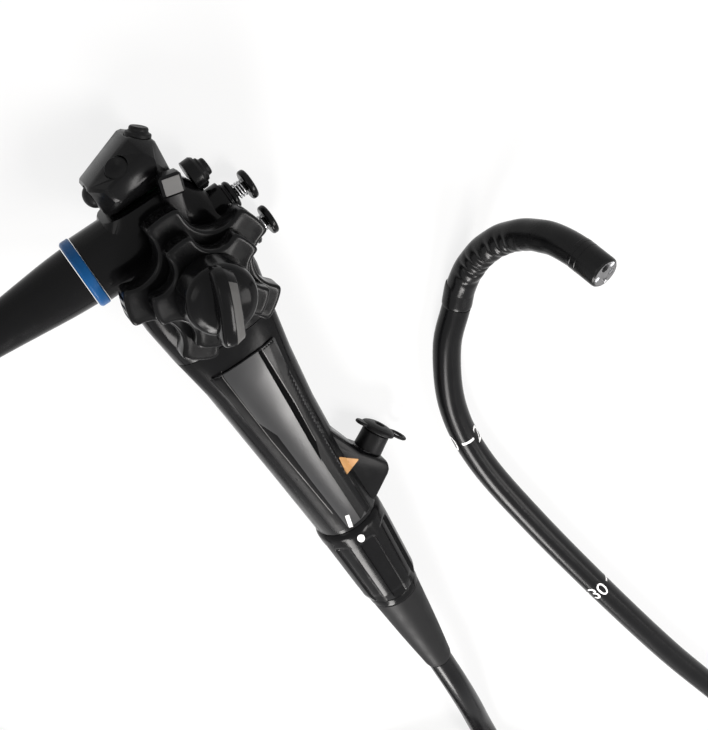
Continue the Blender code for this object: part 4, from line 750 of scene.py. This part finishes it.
def make_wheel(node, body, radius, scallop_radius, scallop_centre, phase_deg, low, high, bore,
               dish):
    # From the lower edge up the rim, over the rounded upper edge and down into the dish.
    levels = [(WHEEL_EDGE * 0.55, low), (WHEEL_EDGE * 0.16, low + WHEEL_EDGE * 0.3),
              (0.0, low + WHEEL_EDGE * 0.8), (0.0, high - WHEEL_EDGE * 1.05)]
    levels += [(WHEEL_EDGE * (1 - math.cos(math.radians(a))),
                high - WHEEL_EDGE * (1 - math.sin(math.radians(a)))) for a in (20, 40, 60, 80)]
    levels += [(WHEEL_EDGE * 1.35, high), (WHEEL_EDGE * 1.9, high - 0.05)]
    work = bmesh.new()
    rings = []
    for inset, height in levels:
        outline = wheel_outline(radius, scallop_radius, scallop_centre, phase_deg, inset)
        rings.append([work.verts.new((point.x * MM, point.y * MM, height * MM))
                      for point in outline])
    inner = [inward_row(work, rings[-1], dish, high - 0.2)]
    inner += [inward_row(work, inner[0], reach, height)
              for reach, height in ((dish - 0.8, high - 1.0), (bore, high - 1.0), (bore, low))]
    bridge(work, rings + inner + [rings[0]])
    bmesh.ops.recalc_face_normals(work, faces=work.faces)
    item = link_object(node + "_skin", mesh_of(node + "_skin", work))
    cut_notches(item, radius, low, high, phase_deg)
    item.data.transform(CONTROL)
    smooth_by_angle(item.data, 34.0)
    dress(item, LOOKS["black_satin"], body, "black_satin", node)


def cut_notches(item, radius, low, high, phase_deg):
    # Finger notches across the rim of each lobe, cut as one set of round bars.
    work = bmesh.new()
    for lobe in range(WHEEL_LOBES):
        for offset in (-1, 0, 1):
            angle = math.radians(phase_deg + 360.0 / WHEEL_LOBES * lobe)
            angle += offset * NOTCH_PITCH / radius
            place = Matrix.Rotation(angle, 4, "Z") @ moved(radius + 0.2, 0.0, (low + high) / 2)
            bmesh.ops.create_cone(work, cap_ends=True, segments=16, radius1=NOTCH_RADIUS * MM,
                                  radius2=NOTCH_RADIUS * MM, depth=(high - low - 3.2) * MM,
                                  matrix=place)
    cutter = link_object("notches", mesh_of("notches", work))
    modifier = item.modifiers.new("notches", "BOOLEAN")
    modifier.operation = "DIFFERENCE"
    modifier.object = cutter
    bake_modifiers(item)
    bpy.data.objects.remove(cutter, do_unlink=True)


# Lock knob with its finger bar: the bar's side view, and its insets from side to side
BAR_SIDE = ((-14.0, 45.5), (15.5, 45.5), (16.3, 52.0), (14.6, 57.4), (8.0, 58.5), (0.0, 58.4),
            (-8.5, 56.6), (-12.6, 53.6), (-14.0, 49.0))
BAR_INSETS = ((-4.5, 3.6), (-4.3, 2.0), (-3.7, 0.5), (-3.1, 0.0), (0.3, 0.0), (0.7, 0.15),
              (4.1, 2.1), (4.45, 2.6), (4.5, 5.0))
BAR_MIDDLE = (1.0, 50.0)
BAR_TURN_DEG = 246.9
LEVER_TURN_DEG = 75.5
PLATE_PLACE = Vector((39.0, 0.0, 20.2)) * MM
PLATE_SIZE = Vector((6.6, 7.0, 0.24)) * MM
PLATE_EDGE = 0.1 * MM


def make_lock_knob():
    dome = rounded([(0.0, 51.6), (5.6, 51.3), (10.4, 50.1), (13.2, 48.3), (14.2, 46.4),
                    (14.9, 36.2), (14.6, 35.6), (2.5, 35.6), (2.5, 44.3), (0.0, 44.3)], 1.2, 6)
    skin("rl_lock_knob", dome, CONTROL, "black_gloss", "rl_lock", around=128)


def make_lock_bar():
    # A blade that rises from the marked end, with a grey flank on its right.
    side = rounded(BAR_SIDE + BAR_SIDE[:1], 2.4, 5)[1:]
    middle_x, middle_z = BAR_MIDDLE
    work = bmesh.new()
    rows = []
    for across, inset in BAR_INSETS:
        row = []
        for x, z in side:
            reach = math.hypot(x - middle_x, z - middle_z)
            share = (reach - inset) / reach
            row.append(work.verts.new(((middle_x + (x - middle_x) * share) * MM, across * MM,
                                       (middle_z + (z - middle_z) * share) * MM)))
        rows.append(row)
    bridge(work, rows)
    work.faces.new(rows[0])
    work.faces.new(list(reversed(rows[-1])))
    bmesh.ops.recalc_face_normals(work, faces=work.faces)
    work.faces.index_update()
    flank = set()
    for face in work.faces:
        middle = face.calc_center_median() / MM
        if (0.8 < middle.y < 4.1 and middle.z > 50.0 and middle.x > -9.0
                and len(face.verts) == 4):
            flank.add(face.index)
    mesh = mesh_of("rl_lock_bar", work)
    mesh.transform(CONTROL @ turned_z(BAR_TURN_DEG))
    smooth_by_angle(mesh, 40.0)
    bar = add_object("rl_lock_bar", mesh, LOOKS["black_gloss"], "rl_lock", "black_gloss")
    bar.data.materials.append(GREY_FACE_AND_HIGHLIGHT_LOOK)
    for face in bar.data.polygons:
        face.material_index = int(face.index in flank)


def make_lever_plate():
    # The grey face on the thumb block of the up-down lock lever.
    work = bmesh.new()
    bmesh.ops.create_cube(work, size=1.0)
    bmesh.ops.scale(work, verts=work.verts, vec=PLATE_SIZE)
    bmesh.ops.bevel(work, geom=work.edges[:], offset=PLATE_EDGE, segments=2, affect="EDGES")
    mesh = mesh_of("ud_lever_plate", work)
    mesh.transform(CONTROL @ turned_z(LEVER_TURN_DEG) @ Matrix.Translation(PLATE_PLACE))
    smooth_by_angle(mesh, 40.0)
    add_object("ud_lever_plate", mesh, GREY_FACE_AND_HIGHLIGHT_LOOK, "ud_lock", "black_gloss")


# Bending section: the rubber sleeve is one piece for each joint, from link middle to link middle
LINK_COUNT = 8
LINK_PITCH = 8.9
BASE_LENGTH = 10.0
REST_BEND_DEG = -20.0
BEND_HEADING = math.radians(58.0)
BEND_TILT = math.radians(56.0)
SLEEVE_RADIUS = 6.55 * MM
SLEEVE_AROUND = 64
SLEEVE_ROWS = 24
FOLD_TURN = 0.7
FOLD_PERIOD = 7.4
FOLD_DEPTH = 0.75
WAVE_DEPTH = 0.07


def bend_frames():
    # The frame of the bending base, then one on each hinge, the last of them the tip's.
    forward = Vector((math.cos(BEND_HEADING), math.sin(BEND_HEADING), 0.0))
    side = Vector((math.sin(BEND_HEADING), -math.cos(BEND_HEADING), 0.0))
    up = side * math.cos(BEND_TILT) + Vector((0.0, 0.0, math.sin(BEND_TILT)))
    place = frame_of(up.cross(forward), up, forward, Vector((88.6, -80.3, 6.6)) * MM + SHIFT)
    frames = [place]
    place = place @ moved(0.0, 0.0, BASE_LENGTH)
    for number in range(LINK_COUNT + 1):
        if number % 2 == 0:
            place = place @ Matrix.Rotation(math.radians(REST_BEND_DEG), 4, "X")
        frames.append(place)
        place = place @ moved(0.0, 0.0, LINK_PITCH)
    return frames


FRAMES = bend_frames()
TIP_NUMBER = LINK_COUNT + 1


def middle_of(number):
    # Centre of a link, where number 0 is the bending base and the last the distal tip's neck.
    height = {0: BASE_LENGTH / 2, TIP_NUMBER: 6.4}.get(number, LINK_PITCH / 2)
    return FRAMES[number] @ Vector((0.0, 0.0, height * MM))


def sleeve_line():
    # One smooth line through the middles of the links.
    knots = [middle_of(number) for number in range(TIP_NUMBER + 1)]
    start = FRAMES[0].col[2].to_3d()
    end = FRAMES[-1].col[2].to_3d()
    places = [knots[0] - start * 9.0 * MM] + knots + [knots[-1] + end * 8.0 * MM]
    return smooth_line(places, SLEEVE_ROWS)


def sleeve_rings():
    # The rubber gathers in folds on the side that the section bends towards.
    line = sleeve_line()
    across = FRAMES[0].col[0].to_3d()
    rings = []
    for index, centre in enumerate(line):
        ahead = (line[min(index + 1, len(line) - 1)] - line[max(index - 1, 0)]).normalized()
        inward = ahead.cross(across).normalized()
        share = index / (len(line) - 1)
        # The folds fade in after the base and out before the tip.
        folds = min(1.0, max(0.0, 7 * (share - 0.06)), max(0.0, 3.2 * (0.74 - share)))
        ring = []
        for step in range(SLEEVE_AROUND):
            angle = 2 * math.pi * step / SLEEVE_AROUND
            inner = max(0.0, math.sin(FOLD_TURN - angle)) ** 1.1
            along = (100.0 * share + 1.6 * math.sin(1.4 * angle + 0.4)
                     + 1.2 * math.sin(23.0 * share))
            crease = 1.0 - abs(math.cos(math.pi * along / FOLD_PERIOD)) ** 4
            wave = (math.sin(41.0 * share + 1.4 * math.cos(angle))
                    * min(1.0, 6 * (1 - share), 6 * share))
            radius = SLEEVE_RADIUS + MM * (FOLD_DEPTH * inner * folds * (crease - 0.75)
                                           + WAVE_DEPTH * wave)
            ring.append(centre + (across * math.cos(angle) - inward * math.sin(angle)) * radius)
        rings.append(ring)
    return rings


def make_sleeve():
    rings = sleeve_rings()
    for number in range(LINK_COUNT + 1):
        work = bmesh.new()
        first = number * SLEEVE_ROWS
        bridge(work, [[work.verts.new(point) for point in ring]
                      for ring in rings[first:first + SLEEVE_ROWS + 1]])
        bmesh.ops.recalc_face_normals(work, faces=work.faces)
        name = f"bending_sleeve_{number + 1}"
        item = link_object(name, mesh_of(name, work))
        item.data.shade_smooth()
        item.data.materials.append(SLEEVE_LOOK)
        if number:
            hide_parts(f"bending_link_{number}")
        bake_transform(item)


def make_end_covers():
    # The rubber reaches over the tip up to its face, with two bound seams, and ends in a band at
    # the tube.
    cover = [(6.3, 5.0), (6.6, 5.4), (6.66, 6.9), (6.5, 7.05), (6.5, 7.25), (6.66, 7.4),
             (6.66, 9.6), (6.52, 9.75), (6.52, 9.95), (6.64, 10.1), (6.62, 18.8), (6.45, 19.4),
             (5.8, 20.02), (5.6, 20.02), (5.6, 19.8)]
    turned("tip_cover", cover, FRAMES[-1], SLEEVE_LOOK, "tip", "black_rubber")
    band = rounded([(6.3, -0.2), (6.6, 0.2), (6.74, 1.2), (6.74, 7.0), (6.68, 9.0), (6.5, 10.4),
                    (6.3, 10.4)], 0.8)
    skin("bending_base", band, FRAMES[0], "black_rubber", look=SLEEVE_LOOK)


# Print, painted shade and highlights: flat outlines in millimetres, laid on the surfaces below them
DIGIT_HEIGHT = 9.0
DIGIT_NARROWING = 0.78
DIGIT_SHIFTS_DEG = (62.0, 106.0)
DASH = (6.4, 1.4)
DOT_RADIUS = 1.75
MARK_RADIUS = 6.46 * MM
# Depth marks: label, distance from the bending section, and turn round the tube.
DEPTH_MARKS = (("20", 72.3, 0.0), ("30", 197.9, 76.0))
SURFACES = {"control_body": ("grip_panel_skin", "grip_shell_skin", "port_tube_skin"),
            "stiffness_ring": ("stiffness_ring_skin",)}
PANEL_POINT = (-22.83, 14.23, 36.26)
# The raised panel's dark flanks (the left one painted shade), the slit beside it (painted shadow),
# and the fine light lines along both (painted highlights), in the picture's plane round that point,
# with each one's height over the surface.
PANEL_MARKS = (
    ("panel_flank_right", LOOKS["black_satin"], 0.07,
     [(-17.2, 34.1), (-11.6, 37.8), (30.1, -35.3), (27.6, -40.4), (3.7, -4.3), (-6.2, 12.9),
      (-17.4, 32.6)]),
    # Painted shadow: a near-black sheet laid where the slit beside the panel lies in shade.
    ("panel_slit", SLIT_SHADOW_LOOK, 0.11,
     [(-17.0, 33.5), (-15.5, 33.1), (-1.7, 11.1), (6.8, -4.3), (9.4, -13.7), (3.7, -4.3),
      (-6.2, 12.9), (-17.2, 31.8)]),
    # Painted highlight: a fine light line along the slit's edge.
    ("panel_slit_painted_highlight", GREY_FACE_AND_HIGHLIGHT_LOOK, 0.15,
     [(-16.3, 34.4), (-2.0, 11.6), (6.8, -4.5), (6.6, -4.6), (-2.3, 11.4), (-16.6, 34.2)]),
    # Painted shade: a dark, dull sheet laid over the left side of the panel.
    ("panel_left_painted_shade", PANEL_SHADE_LOOK, 0.07,
     [(-36.2, 21.9), (-32.3, 24.5), (-31.2, 21.5), (-12.2, -4.0), (14.6, -37.0), (18.6, -42.4),
      (15.4, -42.9)]),
    # Painted highlight: a fine light line along the panel's left edge.
    ("panel_edge_painted_highlight", GREY_FACE_AND_HIGHLIGHT_LOOK, 0.11,
     [(-32.1, 24.3), (-32.3, 22.8), (-31.2, 21.0), (-12.0, -4.3), (14.8, -37.2), (14.6, -37.4),
      (-12.2, -4.5), (-31.5, 20.9), (-32.6, 22.8), (-32.4, 24.3)]),
)


def flat_mesh(corners):
    mesh = bpy.data.meshes.new("flat")
    mesh.from_pydata([(x * MM, y * MM, 0.0) for x, y in corners], [], [list(range(len(corners)))])
    return mesh


def bar_mesh(width, height):
    x, y = width / 2, height / 2
    return flat_mesh([(-x, -y), (x, -y), (x, y), (-x, y)])


def digit_mesh(digit):
    curve = bpy.data.curves.new("mark", "FONT")
    curve.body = digit
    curve.size = 1.0
    curve.align_x = "CENTER"
    curve.resolution_u = 6
    mesh = mesh_from_curve(link_object("mark", curve))
    top = max(vert.co.y for vert in mesh.vertices)
    low = min(vert.co.y for vert in mesh.vertices)
    scale = DIGIT_HEIGHT * MM / (top - low)
    for vert in mesh.vertices:
        vert.co = Vector((vert.co.x * scale * DIGIT_NARROWING,
                          (vert.co.y - (top + low) / 2) * scale, 0.0))
    return mesh


def sliced(mesh, step_mm):
    # Cut into narrow strips both ways, so that the mark follows the surface it lies on.
    step = step_mm * MM
    work = bmesh.new()
    work.from_mesh(mesh)
    for axis, normal in enumerate((Vector((1.0, 0.0, 0.0)), Vector((0.0, 1.0, 0.0)))):
        low = min(vert.co[axis] for vert in work.verts)
        high = max(vert.co[axis] for vert in work.verts)
        for number in range(1, int((high - low) / step) + 1):
            bmesh.ops.bisect_plane(work, geom=work.verts[:] + work.edges[:] + work.faces[:],
                                   plane_co=normal * (low + number * step), plane_no=normal)
    work.to_mesh(mesh)
    work.free()
    return mesh


def tube_place(path, distance):
    # Point and direction at a distance along the path, which starts at the bending section.
    left = distance
    for first, second in zip(path, path[1:]):
        span = (second - first).length
        if left <= span:
            return first.lerp(second, left / span), (first - second).normalized()
        left -= span
    return path[-1], (path[-2] - path[-1]).normalized()


def round_mark(name, mesh, path, distance, degrees):
    # Laid round the tube: left to right follows the girth, and up is towards the tip.
    centre, along = tube_place(path, distance)
    facing = CAMERA_PLACE - centre
    facing = (facing - along * facing.dot(along)).normalized()
    right = along.cross(facing)
    for vert in mesh.vertices:
        angle = math.radians(degrees) + vert.co.x / MARK_RADIUS
        outward = facing * math.cos(angle) + right * math.sin(angle)
        middle, _ = tube_place(path, distance - vert.co.y)
        vert.co = middle + outward * MARK_RADIUS
    add_object(name, mesh, WHITE_INK, "control_body", "black_rubber")


def make_depth_marks(tube_points):
    # Each label stands twice round the tube, with its dash before it.
    path = list(reversed(tube_points))
    for label, distance, turn in DEPTH_MARKS:
        for half in (0, 180):
            start = turn + half
            name = f"depth_{label}_{half}"
            round_mark(name + "_dash", sliced(bar_mesh(*DASH), 0.6), path, distance * MM, start)
            for number, (digit, shift) in enumerate(zip(label, DIGIT_SHIFTS_DEG)):
                round_mark(f"{name}_{number}", sliced(digit_mesh(digit), 0.6), path,
                           distance * MM, start + shift)


def surface_under(body):
    # The visible pieces that a body's marks lie on, as one search tree.
    verts, faces = [], []
    bpy.context.view_layer.update()
    for item in bpy.context.scene.objects:
        if item.type == "MESH" and item.name in SURFACES[body]:
            offset = len(verts)
            verts += [item.matrix_world @ vert.co for vert in item.data.vertices]
            faces += [[offset + index for index in face.vertices] for face in item.data.polygons]
    return BVHTree.FromPolygons(verts, faces)


def laid_mark(name, mesh, point, turn_deg, look, body, lift=0.06):
    # Laid on the surface from the side that the photograph was taken from.
    point = Vector(point) * MM
    towards = (CAMERA_PLACE - point).normalized()
    right = bpy.context.scene.camera.matrix_world.col[0].to_3d()
    right = (right - towards * right.dot(towards)).normalized()
    place = frame_of(right, towards.cross(right), towards, point) @ turned_z(turn_deg)
    tree = surface_under(body)
    for vert in mesh.vertices:
        start = place @ (vert.co + Vector((0.0, 0.0, 30.0 * MM)))
        hit, normal, _, _ = tree.ray_cast(start, -towards)
        vert.co = hit + normal * lift * MM if hit else place @ vert.co
    mesh.shade_smooth()
    add_object(name, mesh, look, body, "black_rubber")


def make_grip_marks():
    corners = [(0.0, 4.1), (-4.6, -3.7), (4.7, -3.2)]
    triangle = flat_mesh(rounded(corners + corners[:1], 0.9)[1:])
    laid_mark("grip_triangle", sliced(triangle, 0.4), (-15.2, -19.4, 28.0), 172.0, ORANGE_INK,
              "control_body", 0.18)
    laid_mark("grip_bar", sliced(bar_mesh(1.9, 5.6), 0.4), (-26.2, -41.5, 37.1), 20.0, WHITE_INK,
              "control_body")
    # Laid over the panel: dark flanks, a painted shadow in the slit and painted highlight lines.
    for name, look, lift, corners in PANEL_MARKS:
        laid_mark(name, sliced(flat_mesh(corners), 0.8), PANEL_POINT, 0.0, look, "control_body",
                  lift)
    dot = flat_mesh([polar(DOT_RADIUS, math.radians(a)) for a in range(0, 360, 12)])
    laid_mark("ring_dot", sliced(dot, 0.4), (-25.78, -53.47, 37.1), 0.0, WHITE_INK,
              "stiffness_ring")


def darken_panel_flanks():
    # Painted shade: faces turned sideways or down look dark and dull; only the face stays grey.
    item = bpy.data.objects["grip_panel_skin"]
    item.data.materials.append(PANEL_SHADE_LOOK)
    to_world = item.matrix_world.to_3x3()
    handle_right = Vector((0.94, 0.0, -0.342))
    for face in item.data.polygons:
        normal = (to_world @ face.normal).normalized()
        tilt = normal.dot(handle_right)
        if tilt < -0.25 or tilt > 0.45 or normal.y < -0.5:
            face.material_index = 1


# Table, light and white background
TABLE_GLOW = 0.82
TABLE_WIDTH = 12000.0
TABLE_HEIGHT = -0.0002
WORLD_LIGHT = 0.22
LIGHT_COLOUR = (1.0, 0.978, 0.96)
# Lights: name, place, target, width, power and height.
LIGHTS = (
    ("key", (0.56, -0.36, 0.78), (-0.02, 0.05, 0.03), 0.5, 7.5, 0.2),
    ("key_side", (0.74, -0.48, 0.52), (-0.02, 0.05, 0.03), 0.3, 1.8, 0.3),
    ("strip", (-0.40, -0.78, 0.60), (0.06, -0.05, 0.0), 0.22, 10.0, 0.5),
    ("strip_side", (-0.5, -0.52, 0.76), (0.04, -0.02, 0.0), 0.3, 6.0, 0.3),
    ("top", (-0.7, 0.9, 1.3), (0.0, 0.0, 0.0), 0.7, 4.0, 0.7),
)


def background_rays(tree):
    # 1 for the rays that show the background: from the camera, reflected, or let through glass.
    path = tree.nodes.new("ShaderNodeLightPath")
    seen = path.outputs["Is Camera Ray"]
    for output in ("Is Glossy Ray", "Is Transmission Ray"):
        larger = tree.nodes.new("ShaderNodeMath")
        larger.operation = "MAXIMUM"
        tree.links.new(seen, larger.inputs[0])
        tree.links.new(path.outputs[output], larger.inputs[1])
        seen = larger.outputs[0]
    return seen


def make_floor():
    # A pale table that glows a little for the rays that show the background, and keeps the shadow.
    item = link_object("table", bar_mesh(TABLE_WIDTH, TABLE_WIDTH))
    material = bpy.data.materials.new("pale_table")
    material.use_nodes = True
    shader = shader_of(material)
    shader.inputs["Base Color"].default_value = (0.85, 0.85, 0.85, 1.0)
    shader.inputs["Roughness"].default_value = 0.9
    glow = add_node(material, "ShaderNodeEmission", Strength=1.0)
    mix = add_node(material, "ShaderNodeMixShader")
    share = add_node(material, "ShaderNodeMath")
    share.operation = "MULTIPLY"
    share.inputs[1].default_value = TABLE_GLOW
    material.node_tree.links.new(background_rays(material.node_tree), share.inputs[0])
    wire(material, share, "Value", mix, 0)
    wire(material, shader, "BSDF", mix, 1)
    wire(material, glow, "Emission", mix, 2)
    wire(material, mix, "Shader", material.node_tree.nodes["Material Output"], "Surface")
    item.data.materials.append(material)
    item.location.z = TABLE_HEIGHT


def make_world():
    world = bpy.data.worlds.new("studio")
    bpy.context.scene.world = world
    world.use_nodes = True
    tree = world.node_tree
    background = tree.nodes["Background"]
    background.inputs["Color"].default_value = (1.0, 1.0, 1.0, 1.0)
    strength = tree.nodes.new("ShaderNodeMapRange")
    strength.inputs[3].default_value = WORLD_LIGHT
    strength.inputs[4].default_value = 1.0
    tree.links.new(background_rays(tree), strength.inputs[0])
    tree.links.new(strength.outputs[0], background.inputs["Strength"])


def area_light(name, place, target, width, power, height):
    data = bpy.data.lights.new(name, "AREA")
    data.shape = "RECTANGLE"
    data.size = width
    data.size_y = height
    data.energy = power
    data.color = LIGHT_COLOUR
    item = link_object(name, data)
    item.location = place
    aim = Vector(target) - Vector(place)
    item.rotation_euler = aim.to_track_quat("-Z", "Y").to_euler()


make_camera()
make_skins()
make_cord_outlet()
make_insertion_boot()
make_stiffness_ring()
make_port()
make_valves()
make_switches()
make_wheel("ud_knob", "ud_control", 32.0, 12.0, 32.5, 163.9, 15.8, 26.3, 3.9, 15.0)
make_wheel("rl_knob", "rl_control", 23.5, 8.4, 24.2, 166.7, 26.8, 35.2, 2.5, 13.0)
make_lock_knob()
make_lock_bar()
make_lever_plate()
# A cord names the pieces on its far end, so both come after them.
tube_points = make_insertion_tube()
make_universal_cord()
make_sleeve()
make_end_covers()
make_depth_marks(tube_points)
make_grip_marks()
darken_panel_flanks()
make_floor()
make_world()
for light in LIGHTS:
    area_light(*light)
bpy.context.scene.view_settings.view_transform = "Standard"
